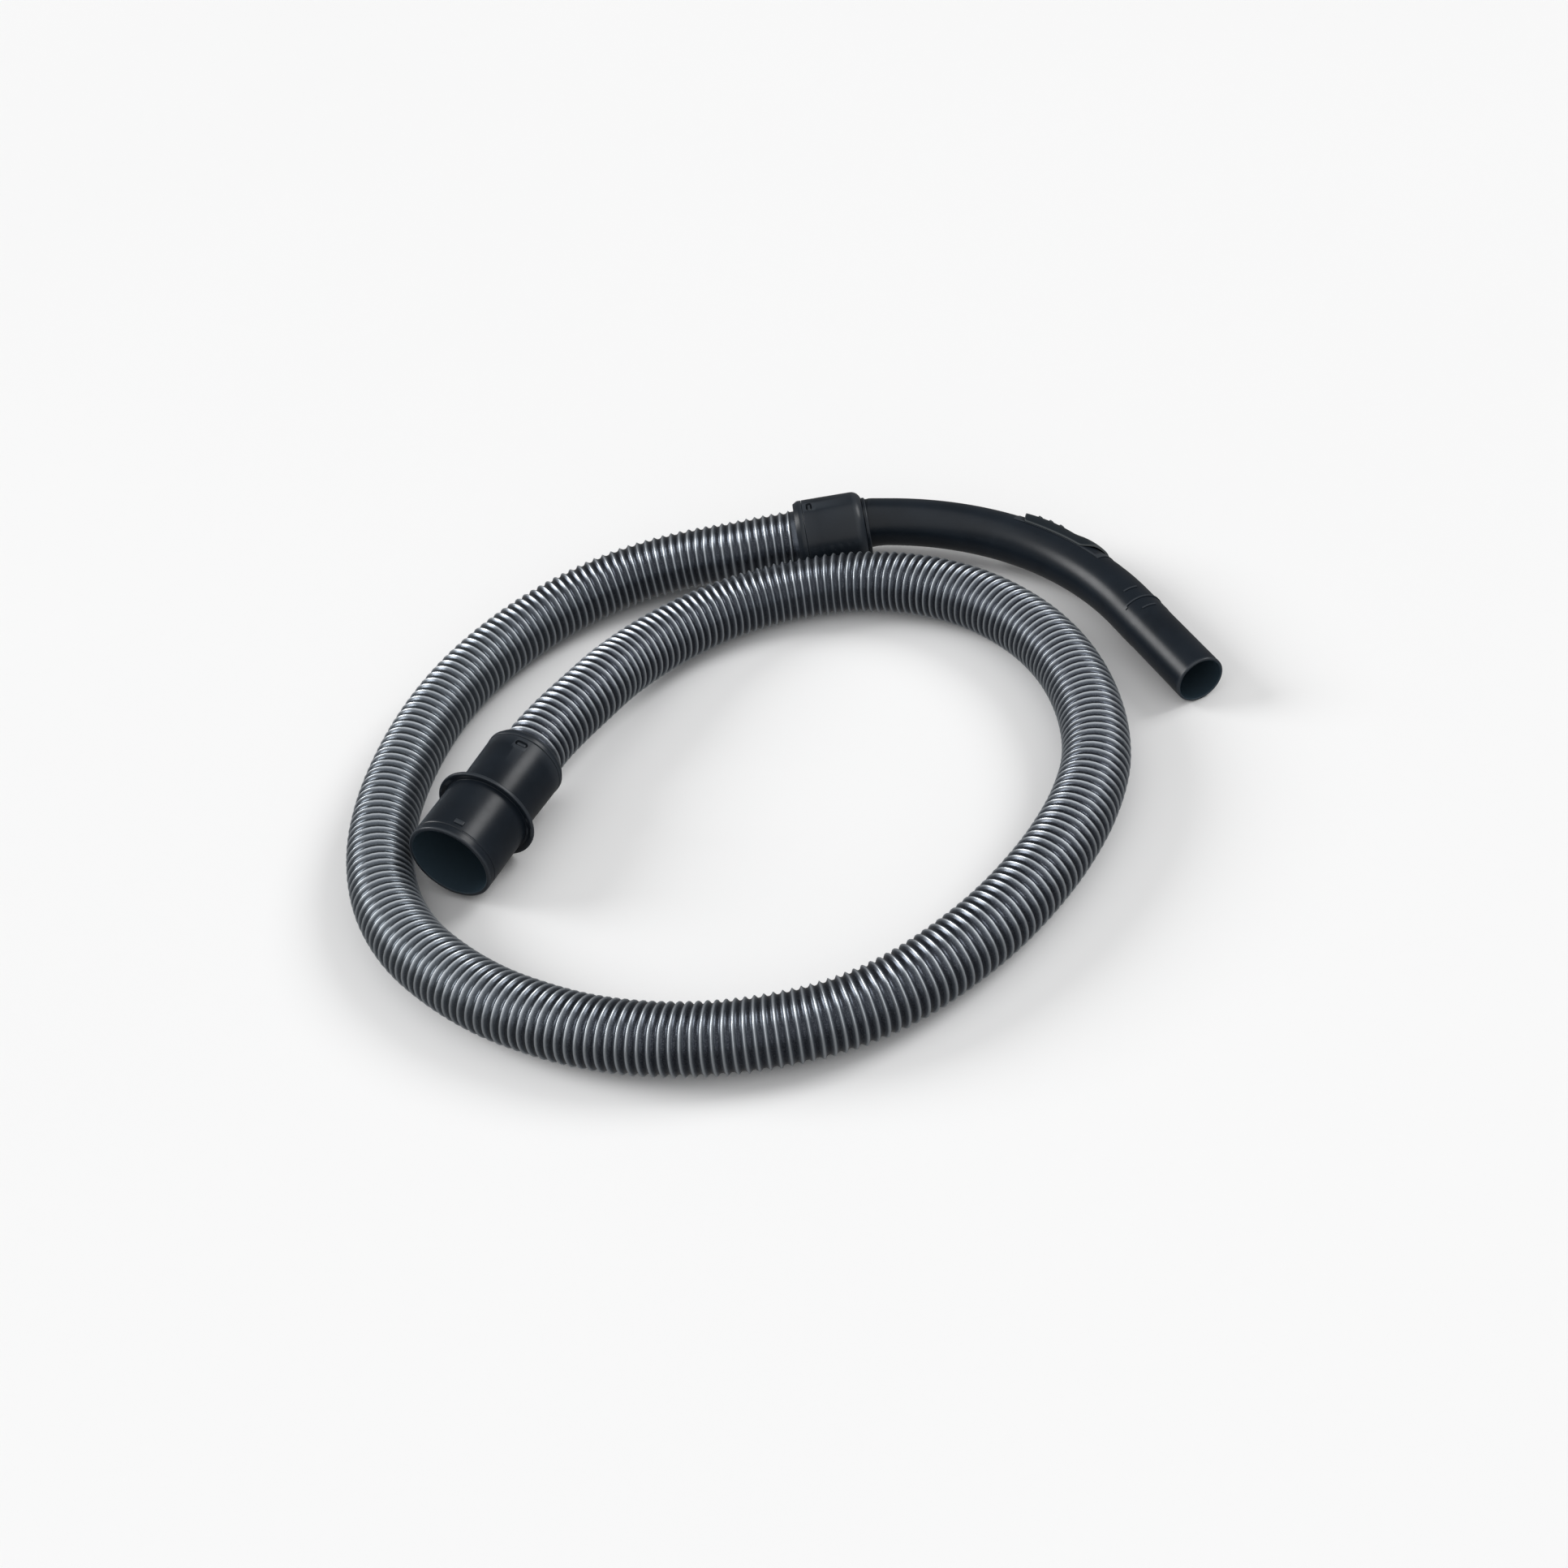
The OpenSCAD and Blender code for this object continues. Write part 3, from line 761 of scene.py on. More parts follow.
@dataclass
class SuctionHose:
    """The ribbed hose: one rib that winds along the whole line like a screw thread, and a plain bore."""

    line: HoseLine
    crest_r: float = 20.0
    valley_r: float = 18.15
    bore_r: float = 16.0
    pitches: tuple[float, ...] = (
        5.7, 5.7, 5.8, 5.85, 6.05, 6.1, 5.85, 5.6, 5.42, 5.3, 5.3,
        5.5, 5.58, 5.58, 5.7, 5.62, 5.38, 5.4, 5.7, 5.7, 5.7,
    )  # fmt: skip
    profile: tuple[Point, ...] = (
        (0.0, 1.0), (0.045, 0.93), (0.11, 0.7), (0.22, 0.34), (0.38, 0.04),
        (0.62, 0.04), (0.78, 0.34), (0.89, 0.7), (0.955, 0.93),
    )  # fmt: skip
    sides: int = 32
    cuff: float = 2.2
    cuff_height: float = 0.45
    cuff_fade: float = 1.5
    # Stretch of the line whose valleys get painted light, and how fast that light fades in and out.
    valley_light: Span = (230.0, 640.0)
    valley_light_fade: float = 90.0
    wind_steps: int = 2000
    bore_rings: int = 160
    margin: float = 1.0
    path_step: float = 5.0
    shade_angle: float = 60.0

    def wind(self) -> tuple[int, np.ndarray, np.ndarray]:
        """Winds the rib along the line, closer where the hose is pushed together.

        Returns:
            The number of turns, and matching lists of turns wound and places along the line.
        """
        place = np.linspace(self.margin, self.line.length - self.margin, self.wind_steps)
        stations = np.linspace(0.0, self.line.length, len(self.pitches))
        rate = 1 / np.interp(place, stations, self.pitches)
        wound = np.concatenate([[0.0], np.cumsum((rate[1:] + rate[:-1]) / 2 * np.diff(place))])
        turns = int(wound[-1])
        return turns, wound * turns / wound[-1], place

    def flatten_cuffs(self, place: np.ndarray, height: np.ndarray) -> np.ndarray:
        """Fades the rib to a plain cuff beside each cap.

        Args:
            place: Distances from the start.
            height: Heights of the rib.

        Returns:
            The new heights.
        """
        for face in (self.line.inside, self.line.length - self.line.inside):
            share = np.clip((np.abs(place - face) - self.cuff) / self.cuff_fade, 0.0, 1.0)
            height = self.cuff_height + (height - self.cuff_height) * share
        return height

    def build(self) -> bpy.types.Object:
        """Models the hose: its skin from the winding rib, its bore, and two flat ends.

        Returns:
            The hose's object.
        """
        sides, count = self.sides, len(self.profile)
        turns, wound, places = self.wind()
        rings = (turns - 1) * count + 1
        ring, column = np.divmod(np.arange(rings * sides), sides)
        last = np.arange(rings - count, rings)
        ring = np.concatenate([ring, last])
        column = np.concatenate([column, np.full(count, sides)])
        phase, height = np.array(self.profile)[ring % count].T
        place = np.interp(ring // count + phase + column / sides, wound, places)
        height = self.flatten_cuffs(place, height)
        radius = self.valley_r + (self.crest_r - self.valley_r) * height
        bore_ring, bore_column = np.divmod(np.arange(self.bore_rings * sides), sides)
        bore_place = self.line.length * bore_ring / (self.bore_rings - 1)
        rim_ring, rim_column = np.divmod(np.arange(2 * sides), sides)
        place = np.concatenate([place, bore_place, self.line.length * rim_ring])
        column = np.concatenate([column, bore_column, rim_column])
        radius = np.concatenate([radius, np.full(bore_ring.size, self.bore_r), np.full(2 * sides, self.valley_r)])
        points = self.line.around(place, 2 * math.pi * column / sides, radius) * MM
        heights = np.zeros(len(points), dtype=np.float32)
        heights[: height.size] = height
        hose = laid_out("suction_hose", points.tolist(), self._faces(rings))
        lay_share(hose, RIB_ATTRIBUTE, heights)
        # Painted light for the valleys of that stretch, fading at its ends.
        start, finish = self.valley_light
        valley_light_share = np.clip(np.minimum(place - start, finish - place) / self.valley_light_fade + 0.5, 0.0, 1.0)
        lay_share(hose, VALLEY_LIGHT_ATTRIBUTE, (valley_light_share * (1 - heights)).astype(np.float32))
        return hose

    def _faces(self, rings: int) -> list[tuple[int, ...]]:
        """Joins the points of the hose.

        Args:
            rings: Number of rings of the winding rib.

        Returns:
            Faces as tuples of point numbers.
        """
        count, sides = len(self.profile), self.sides
        tail = rings * sides
        bore = tail + count
        rim = bore + self.bore_rings * sides

        def skin(ring: int, side: int) -> int:
            """Number of a point of the rib, where the last side runs on into the next turn.

            Args:
                ring: Number of the ring.
                side: Number of the side, up to and with the number of sides.

            Returns:
                The point's number.
            """
            if side < sides:
                return ring * sides + side
            return (ring + count) * sides if ring + count < rings else tail + ring + count - rings

        faces: list[tuple[int, ...]] = []
        for side in range(sides):
            after = (side + 1) % sides
            for ring in range(rings - 1):
                faces.append((skin(ring, side), skin(ring, side + 1), skin(ring + 1, side + 1), skin(ring + 1, side)))
            for start in range(bore, rim - sides, sides):
                faces.append((start + side, start + sides + side, start + sides + after, start + after))
            faces.append((skin(0, side), rim + side, rim + after, skin(0, side + 1)))
            faces.append((rim + side, bore + side, bore + after, rim + after))
            faces.append((skin(rings - 1, side), skin(rings - 1, side + 1), rim + sides + after, rim + sides + side))
            faces.append((rim - sides + side, rim + sides + side, rim + sides + after, rim - sides + after))
        faces.append((rim, *(skin(ring, 0) for ring in range(count + 1))))
        faces.append((rim + sides, *(skin(ring, sides) for ring in range(rings - 1, rings - 2 - count, -1))))
        return faces

    def dress(self, hose: bpy.types.Object) -> None:
        """Gives the hose its finish and body, and hides its CAD node.

        Args:
            hose: The hose's object.
        """
        hose.data.materials.append(GREY_HOSE.material())
        smooth(hose, self.shade_angle)
        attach(hose, Body.HOSE.value)
        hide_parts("hose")
        path = self.line.at(np.arange(self.path_step, self.line.length, self.path_step)) * MM
        log.info("suction_hose: %d faces, %.0f mm long", len(hose.data.polygons), self.line.length)


# ---------------------------------------------------------------- swivel ends


def placement(face: Sequence[float], heading: float, roll: float = 0.0) -> Matrix:
    """Place in metres of a swivel end's frame, from its face in millimetres, heading in degrees and roll."""
    place = Matrix.Translation([MM * c for c in face])
    return place @ Matrix.Rotation(math.radians(heading), 4, "Z") @ Matrix.Rotation(roll, 4, "X")


@dataclass
class SwivelEnd:
    """Sizes that the grip's bell and the connector's sleeve share at the hose."""

    socket_r: float = 22.8
    neck_r: float = 17.2
    shoulder: float = 36.2
    seam: float = 6.0
    seam_gap: float = 0.08
    edge: float = 0.5
    tab_middle: float = 10.8
    window_end: float = 15.5
    window_size: Size = (4.0, 8.0, 8.0)
    window_lift: float = 1.5
    window_round: float = 1.7
    tab_length: float = 2.7
    tab_width: float = 6.4
    tab_top: float = 24.6
    tab_round: float = 1.1

    def cut_windows(self, piece: bpy.types.Object, turn: float) -> None:
        """Cuts the two snap windows through a sleeve.

        Args:
            piece: The sleeve.
            turn: Turn of the windows about the axis, in degrees.
        """
        centre = (self.tab_middle, 0.0, self.socket_r + self.window_lift)
        for side in SNAP_SIDES:
            window = block("window", self.window_size, centre, self.window_round)
            turn_about_axis(window, side + turn)
            apply_boolean(piece, window, "DIFFERENCE")


@dataclass
class SnapCap:
    """The cap that snaps into a swivel socket: a bevelled band, a skirt and two tabs."""

    name: str
    node: str
    body: Body
    place: Matrix
    turn: float
    ends: SwivelEnd
    cap_r: float = 25.4
    bore_r: float = 20.4
    skirt_r: float = 22.7
    skirt_end: float = 16.2
    lip: float = 0.6
    tab_root: float = 1.0
    bevel_length: float = 3.2
    bevel_depth: float = 1.8
    shade_angle: float = 38.0

    def build(self) -> bpy.types.Object:
        """Models the cap.

        Returns:
            The cap's object.
        """
        seam = self.ends.seam - self.ends.seam_gap
        outline = rounded(
            [
                (self.lip, self.bore_r, 0.0),
                (0.0, self.bore_r + self.lip, 0.4),
                (0.0, self.cap_r - self.bevel_depth, 0.5),
                (self.bevel_length, self.cap_r, 1.0),
                (seam, self.cap_r, self.ends.edge),
                (seam, self.skirt_r, 0.2),
                (self.skirt_end, self.skirt_r, 0.5),
                (self.skirt_end, self.bore_r, 0.3),
                (self.skirt_end - 1.0, self.bore_r, 0.0),
            ]
        )
        cap = turned(self.name, outline)
        height = self.ends.tab_top - self.skirt_r + self.tab_root
        size = (self.ends.tab_length, self.ends.tab_width, height)
        centre = (self.ends.tab_middle, 0.0, self.ends.tab_top - height / 2)
        for side in SNAP_SIDES:
            tab = block("tab", size, centre, self.ends.tab_round)
            turn_about_axis(tab, side + self.turn)
            apply_boolean(cap, tab, "UNION")
        return cap

    def dress(self, cap: bpy.types.Object, finish: bpy.types.Material) -> None:
        """Finishes the cap and lets it stand for its node.

        Args:
            cap: The cap's object.
            finish: Its material.
        """
        smooth(cap, self.shade_angle)
        set_down(cap, self.place, finish, self.body)
        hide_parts(self.node)


# ---------------------------------------------------------------- grip


@dataclass(frozen=True)
class Mark:
    """A raised mark across the straight end: its place, its two end angles from the top, and its width."""

    run: float
    start: float
    finish: float
    width: float = 1.2

    def covers(self, run: float, angle: float) -> bool:
        """Tells whether a place along the straight end and an angle from its top lie on the mark."""
        return abs(run - self.run) < self.width / 2 and self.start < angle < self.finish


@dataclass
class GripTube:
    """The bent grip: bell, root flare, bent tube with the slider's track, and the straight end."""

    line: HoseLine
    ends: SwivelEnd
    sides: int = ROUND_SIDES
    skin: float = 0.5
    bell_r: float = 25.4
    bell_front: float = 46.5
    bell_front_r: float = 25.1
    bell_draft: float = 0.07
    bell_round: float = 7.0
    step_r: float = 20.0
    step_height: float = 2.2
    tube_r: float = 15.9
    bore_r: float = 14.0
    cant: float = math.radians(11.4)
    offset: float = 5.6
    bend_r: float = 204.5
    bend: float = math.radians(59.8)
    bend_rings: int = 72
    wand: float = 82.0
    seat_r: float = 15.65
    seat_length: float = 56.0
    seat_ease: float = 3.0
    mouth_round: float = 0.9
    bore_light_inside: float = 0.2
    marks: tuple[Mark, ...] = (
        Mark(1.2, -14.0, 20.0),
        Mark(12.0, -41.0, 140.0),
        Mark(13.2, -41.0, -34.0),
        Mark(21.6, -13.0, 23.0),
    )
    mark_height: float = 0.55
    flare_height: float = 2.4
    flare_length: float = 18.0
    flare_runs: tuple[float, ...] = (2.6, 3.4, 4.6, 6.2, 8.2, 10.6, 13.4, 16.4)
    flare_slope: float = 0.25
    flare_lead: float = 8.0
    flare_sink: float = 0.4
    tube_start: float = 19.0
    track_height: float = 0.4
    track_start: float = 105.5
    track_end: float = 178.0
    track_half_angle: float = math.radians(82.0)
    slot_start: float = 115.7
    slot_end: float = 150.5
    slot_width: float = 6.0
    slot_clear: float = 3.0
    neck_wall: float = 3.0
    shade_angle: float = 32.0

    @property
    def place(self) -> Matrix:
        """Place of the grip, rolled so that it lies on its cap and on the rim of its mouth.

        Returns:
            The matrix, in metres.
        """
        end = self.cant + self.bend
        reach = self.bend_r * (math.cos(self.cant) - math.cos(end)) + self.wand * math.sin(end) - self.offset
        roll = math.asin((self.line.grip_face[2] - self.seat_r) / reach)
        return placement(self.line.grip_face, self.line.grip_heading, roll)

    @property
    def bend_centre(self) -> Point:
        """Middle of the bend, in the grip's plane."""
        x = self.bell_front - self.bend_r * math.sin(self.cant)
        return x, self.offset - self.bend_r * math.cos(self.cant)

    def on_bend(self, run: float, radius: float) -> Ring:
        """Ring square to the bent centreline.

        Args:
            run: Distance along the bend.
            radius: Radius of the ring.

        Returns:
            The ring.
        """
        angle = self.cant + run / self.bend_r
        x, y = self.bend_centre
        return Ring(x + self.bend_r * math.sin(angle), y + self.bend_r * math.cos(angle), radius, -angle)

    def on_wand(self, run: float, radius: float) -> Ring:
        """Ring square to the straight end.

        Args:
            run: Distance from the end of the bend.
            radius: Radius of the ring.

        Returns:
            The ring.
        """
        root = self.on_bend(self.bend * self.bend_r, radius)
        x = root.x + run * math.cos(root.heading)
        y = root.y + run * math.sin(root.heading)
        return Ring(x, y, radius, root.heading)

    def bell_outline(self) -> list[Point]:
        """Outline of the bell's outside.

        Returns:
            Its points, from the seam to the top of the step ring.
        """
        seam = self.ends.seam + self.ends.seam_gap
        return rounded(
            [
                (seam, self.ends.socket_r, 0.0),
                (seam, self.bell_r, self.ends.edge),
                (self.ends.window_end, self.bell_r - self.bell_draft, 0.0),
                (self.bell_front, self.bell_front_r, self.bell_round),
                (self.bell_front, self.step_r, 0.35),
                (self.bell_front + self.step_height, self.step_r, 0.9),
                (self.bell_front + self.step_height, self.step_r - 1.0, 0.0),
            ],
            8,
        )

    def flare(self) -> list[Ring]:
        """Flare from the step ring into the bent tube, hollow below and flush above.

        Returns:
            Its rings.
        """
        rings = []
        for run in self.flare_runs:
            rise = self.flare_height * (1 - run / self.flare_length) ** 2
            true = self.on_bend(run, self.tube_r)
            top = min(true.y + self.tube_r, self.step_r - self.flare_sink + self.flare_slope * run)
            low = true.y - self.tube_r - rise
            heading = true.heading * min(1.0, run / self.flare_lead)
            rings.append(Ring(true.x, (top + low) / 2, (top - low) / 2, heading))
        return rings

    def wand_rings(self) -> list[Ring]:
        """Outside of the straight end, with the edges of the marks, the seat and the round mouth.

        Returns:
            Its rings.
        """
        seat = self.wand - self.seat_length
        edges = sorted(
            {round(mark.run + side * mark.width / 2, 3) for mark in self.marks for side in (-1, 1)}
        )
        outline = [
            *((edge, self.tube_r) for edge in edges),
            (seat - self.seat_ease - 0.5, self.tube_r),
            (seat - self.seat_ease, self.tube_r),
            (seat, self.seat_r),
            (seat + 1.0, self.seat_r),
            (self.wand - 3.0, self.seat_r),
        ]
        lip = rounded(
            [
                (self.wand - 2.5, self.seat_r, 0.0),
                (self.wand, self.seat_r, self.mouth_round),
                (self.wand, self.bore_r, 0.5),
                (self.wand - 3.0, self.bore_r + 0.1, 0.0),
            ]
        )
        return [self.on_wand(x, r) for x, r in [*outline, *lip]]

    def build(self) -> bpy.types.Object:
        """Models the grip as one closed skin, then adds the track and the marks and cuts the windows and slot.

        Returns:
            The grip's object.
        """
        first, *bell = [Ring(x, 0.0, r) for x, r in self.bell_outline()]
        chain = RingChain("grip_tube_shell", self.sides, first)
        chain.through(bell)
        chain.through(self.flare())
        total = self.bend * self.bend_r
        runs = np.linspace(self.tube_start, total, self.bend_rings)
        chain.through(self.on_bend(run, self.tube_r) for run in runs)
        chain.through(self.wand_rings())
        chain.to(self.on_wand(0.5, self.bore_r + 0.1))
        chain.through(self.on_bend(run, self.bore_r) for run in np.linspace(total, 0.5, self.bend_rings // 2))
        neck = self.bell_front - self.neck_wall
        start = self.on_bend(-1.0, self.bore_r)
        chain.through(
            [
                Ring(neck, start.y + 0.2, self.bore_r + 0.1, start.heading / 2),
                Ring(neck, 0.0, self.ends.neck_r),
                Ring(self.ends.shoulder, 0.0, self.ends.neck_r),
                Ring(self.ends.shoulder, 0.0, self.ends.socket_r),
            ]
        )
        grip = chain.close()
        self.raise_patch(grip, self.on_track, self.track_height)
        self.raise_patch(grip, self.on_mark, self.mark_height)
        apply_boolean(grip, self.slot_cutter(), "DIFFERENCE")
        self.ends.cut_windows(grip, 0.0)
        return grip

    def polar(self, point: Vector) -> tuple[float, float, float]:
        """Place of a point on the bent tube.

        Args:
            point: A point in the grip's frame.

        Returns:
            Its run along the bend, angle round the tube from the outer side, and distance from the centreline.
        """
        x, y = self.bend_centre
        across, along = point.x - x, point.y - y
        reach = math.hypot(across, along)
        run = (math.atan2(across, along) - self.cant) * self.bend_r
        return run, math.atan2(point.z, reach - self.bend_r), math.hypot(reach - self.bend_r, point.z)

    def raise_patch(self, grip: bpy.types.Object, inside: Callable[[Vector], bool], height: float) -> None:
        """Raises some of the outer faces as one patch, as the track and the marks stand on the tube.

        Args:
            grip: The grip's object.
            inside: Says of a face's middle whether it belongs to the patch.
            height: How far the patch is raised.
        """
        pick(grip)
        bpy.ops.object.mode_set(mode="EDIT")
        bpy.ops.mesh.select_all(action="DESELECT")
        bpy.ops.mesh.select_mode(type="FACE")
        bpy.ops.object.mode_set(mode="OBJECT")
        for face in grip.data.polygons:
            face.select = inside(face.center)
        bpy.ops.object.mode_set(mode="EDIT")
        bpy.ops.mesh.extrude_region_shrink_fatten(TRANSFORM_OT_shrink_fatten={"value": height})
        bpy.ops.mesh.select_mode(type="VERT")
        bpy.ops.object.mode_set(mode="OBJECT")

    def on_track(self, point: Vector) -> bool:
        """Tells whether a point of the skin lies on the slider's track.

        Args:
            point: A point in the grip's frame.

        Returns:
            Whether it does.
        """
        run, angle, away = self.polar(point)
        outside = away > self.tube_r - self.skin
        along = self.track_start < run < self.track_end
        return outside and along and abs(angle) < self.track_half_angle

    def from_wand(self, point: Vector) -> Point:
        """Place of a point beside the straight end.

        Args:
            point: A point in the grip's frame.

        Returns:
            Its run along the end and its sideways distance from the end's axis.
        """
        root = self.on_wand(0.0, 1.0)
        along = Vector((math.cos(root.heading), math.sin(root.heading), 0.0))
        way = point - Vector((root.x, root.y, 0.0))
        return way.dot(along), way.dot(Vector((-along.y, along.x, 0.0)))

    def on_mark(self, point: Vector) -> bool:
        """Tells whether a point of the skin lies on one of the marks of the straight end.

        Args:
            point: A point in the grip's frame.

        Returns:
            Whether it does.
        """
        run, side = self.from_wand(point)
        outside = math.hypot(side, point.z) > self.tube_r - self.skin
        angle = math.degrees(math.atan2(side, point.z))
        return outside and any(mark.covers(run, angle) for mark in self.marks)

    def bore_light(self, point: Vector) -> float:
        """Share of painted light at a point: full in the bore at the mouth, and less further in.

        Args:
            point: A point in the grip's frame.

        Returns:
            The share, from 0 to 1.
        """
        run, side = self.from_wand(point)
        inside = math.hypot(side, point.z) < self.bore_r + self.skin
        return min(max(run / self.wand + self.bore_light_inside, 0.0), 1.0) if inside else 0.0

    def bent_bar(self, name: str, runs: Span, radii: Span, width: float, steps: int = 16) -> bpy.types.Object:
        """Models a bar of oblong section that follows the bend.

        Args:
            name: Name of the piece.
            runs: Where it starts and ends along the bend.
            radii: Its inner and outer distance from the centreline.
            width: Its width across the bend's plane.
            steps: Number of stretches.

        Returns:
            The bar.
        """
        start = self.on_bend(runs[0], 1.0)
        away = (radii[0] + radii[1]) / 2
        centre = (start.x - away * math.sin(start.heading), start.y + away * math.cos(start.heading), 0.0)
        deselect_all()
        bpy.ops.mesh.primitive_plane_add(size=1.0, location=centre, rotation=(0.0, math.pi / 2, start.heading))
        bar = bpy.context.object
        bar.name = name
        bar.scale = (width, radii[1] - radii[0], 1.0)
        fix_transform(bar)
        sweep("Z", (*self.bend_centre, 0.0), (runs[1] - runs[0]) / self.bend_r, steps)
        return bar

    def slot_cutter(self) -> bpy.types.Object:
        """Solid of the vent slot, which stands clear of the wall on both sides."""
        radii = (self.bore_r - self.slot_clear, self.tube_r + self.slot_clear)
        return self.bent_bar("slot_cutter", (self.slot_start, self.slot_end), radii, self.slot_width)

    def dress(self, grip: bpy.types.Object, finish: bpy.types.Material) -> None:
        """Finishes the grip and lets it stand for its node.

        Args:
            grip: The grip's object.
            finish: Its material.
        """
        # Painted light in the bore, strongest at the mouth.
        lay_share(grip, BORE_LIGHT_ATTRIBUTE, [self.bore_light(vertex.co) for vertex in grip.data.vertices])
        smooth(grip, self.shade_angle)
        set_down(grip, self.place, finish, Body.GRIP)
        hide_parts("grip_tube")


@dataclass
class AirSlider:
    """The slider on the outside of the bend: two low humps, finger ribs and a raised tongue at its tail."""

    grip: GripTube
    start: float = 107.0
    length: float = 64.5
    skin: float = 0.5
    half_angle: float = math.radians(80.0)
    back_angle: float = math.radians(42.0)
    skirt: float = 1.5
    head_sweep: float = 8.0
    under_r: float = 16.6
    hump_one: float = 3.5
    hump_two: float = 3.2
    hump_one_at: float = 12.0
    hump_two_at: float = 52.0
    hump_one_r: float = 120.0
    hump_two_r: float = 52.0
    hump_blend: float = 0.25
    hump_blend_width: float = 0.35
    tongue_from: float = 51.0
    tongue_rise: float = 5.0
    tongue_wall: float = 1.3
    tongue_taper: float = 0.985
    tongue_power: float = 1.3
    thinnest: float = 0.9
    edge_round: float = 0.8
    edge_angle: float = math.radians(50.0)
    shade_angle: float = 35.0
    rib_r: float = 1.05
    rib_pitch: float = 8.0
    first_rib: float = 11.5
    rib_half_angle: float = math.radians(42.0)
    rib_sink: float = 0.1
    rib_steps: int = 28
    rib_sides: int = 12
    ribs: int = 3
    key_start: float = 116.0
    key_length: float = 22.0
    key_width: float = 5.7
    key_reach: float = 1.4
    columns: int = 44
    rows: int = 72

    def height(self, run: float) -> float:
        """Height of the slider's back over the tube.

        Args:
            run: Distance from the slider's head.

        Returns:
            The height at the middle line.
        """
        one, two = (
            top - (run - middle) ** 2 / 2 * (1 / radius - 1 / self.grip.bend_r)
            for top, middle, radius in (
                (self.hump_one, self.hump_one_at, self.hump_one_r),
                (self.hump_two, self.hump_two_at, self.hump_two_r),
            )
        )
        return max(one, two) + self.hump_blend * math.exp(-(((one - two) / self.hump_blend_width) ** 2))

    def spread_angle(self, run: float) -> float:
        """Half of the angle that the slider covers at a place along it."""
        past = max(0.0, (run - self.tongue_from) / (self.length - self.tongue_from))
        return self.half_angle * math.sqrt(max(0.0, 1 - self.tongue_taper * past**self.tongue_power))

    def back(self, run: float, angle: float) -> float:
        """Distance of the slider's back from the tube's centre, lower on the side skirts.

        Args:
            run: Distance from the slider's head.
            angle: Angle round the tube from the middle line.

        Returns:
            The distance.
        """
        height = self.height(run)
        share = ease(abs(angle), self.back_angle, self.half_angle)
        return self.grip.tube_r + height + share * (min(height, self.skirt) - height)

    def underside(self, run: float) -> float:
        """Distance of the slider's underside from the tube's centre, raised under the tongue.

        Args:
            run: Distance from the slider's head.

        Returns:
            The distance.
        """
        lifted = self.grip.tube_r + self.height(run) - self.tongue_wall
        share = ease(run, self.tongue_from, self.tongue_from + self.tongue_rise)
        return self.under_r + share * max(0.0, lifted - self.under_r)

    def point(self, run: float, angle: float, away: float) -> Place:
        """Point of the slider, whose head is swept forwards at the sides.

        Args:
            run: Distance from the slider's head.
            angle: Angle round the tube from the middle line.
            away: Distance from the tube's centre.

        Returns:
            The point in the grip's frame.
        """
        sweep_on = self.head_sweep * (angle / self.half_angle) ** 2 * (1 - run / self.length)
        ring = self.grip.on_bend(self.start + run + sweep_on, 1.0)
        out = away * math.cos(angle)
        return ring.x - out * math.sin(ring.heading), ring.y + out * math.cos(ring.heading), away * math.sin(angle)

    def shell(self) -> tuple[list[Place], list[tuple[int, ...]]]:
        """Lays out the slider's shell in rows along the bend and columns round it.

        Its back is a double-curved sheet that no turned or extruded form gives.

        Returns:
            The points and the faces, with the back first and the underside after it.
        """
        points: list[Place] = []
        for lifted in (True, False):
            for run in (self.length * k / (self.rows - 1) for k in range(self.rows)):
                half = self.spread_angle(run)
                for k in range(self.columns + 1):
                    angle = half * (2 * k / self.columns - 1)
                    away = self.back(run, angle)
                    if not lifted:
                        away = min(self.underside(run), away - self.thinnest)
                    points.append(self.point(run, angle, away))
        wide = self.columns + 1
        under = self.rows * wide
        faces: list[tuple[int, ...]] = []
        for row in range(self.rows - 1):
            for k in range(self.columns):
                a, b = row * wide + k, (row + 1) * wide + k
                faces += [(a, a + 1, b + 1, b), (under + a, under + b, under + b + 1, under + a + 1)]
            a, b = row * wide, (row + 1) * wide
            faces.append((a, b, under + b, under + a))
            a, b = a + self.columns, b + self.columns
            faces.append((a, under + a, under + b, b))
        faces += [(a, under + a, under + a + 1, a + 1) for a in range(self.columns)]
        faces += [(a, a + 1, under + a + 1, under + a) for a in range(under - wide, under - 1)]
        return points, faces

    def build(self) -> bpy.types.Object:
        """Models the slider's shell, its finger ribs and its key.

        Returns:
            The slider's object.
        """
        slider = laid_out("air_slider", *self.shell())
        edges = slider.modifiers.new("edges", "BEVEL")
        edges.width = self.edge_round
        edges.segments = 3
        edges.limit_method = "ANGLE"
        edges.angle_limit = self.edge_angle
        bpy.ops.object.modifier_apply(modifier=edges.name)
        for k in range(self.ribs):
            apply_boolean(slider, self.finger_rib(self.first_rib + k * self.rib_pitch), "UNION")
        runs = (self.key_start, self.key_start + self.key_length)
        radii = (self.grip.bore_r - self.key_reach, self.under_r + self.skin)
        apply_boolean(slider, self.grip.bent_bar("key", runs, radii, self.key_width), "UNION")
        return slider

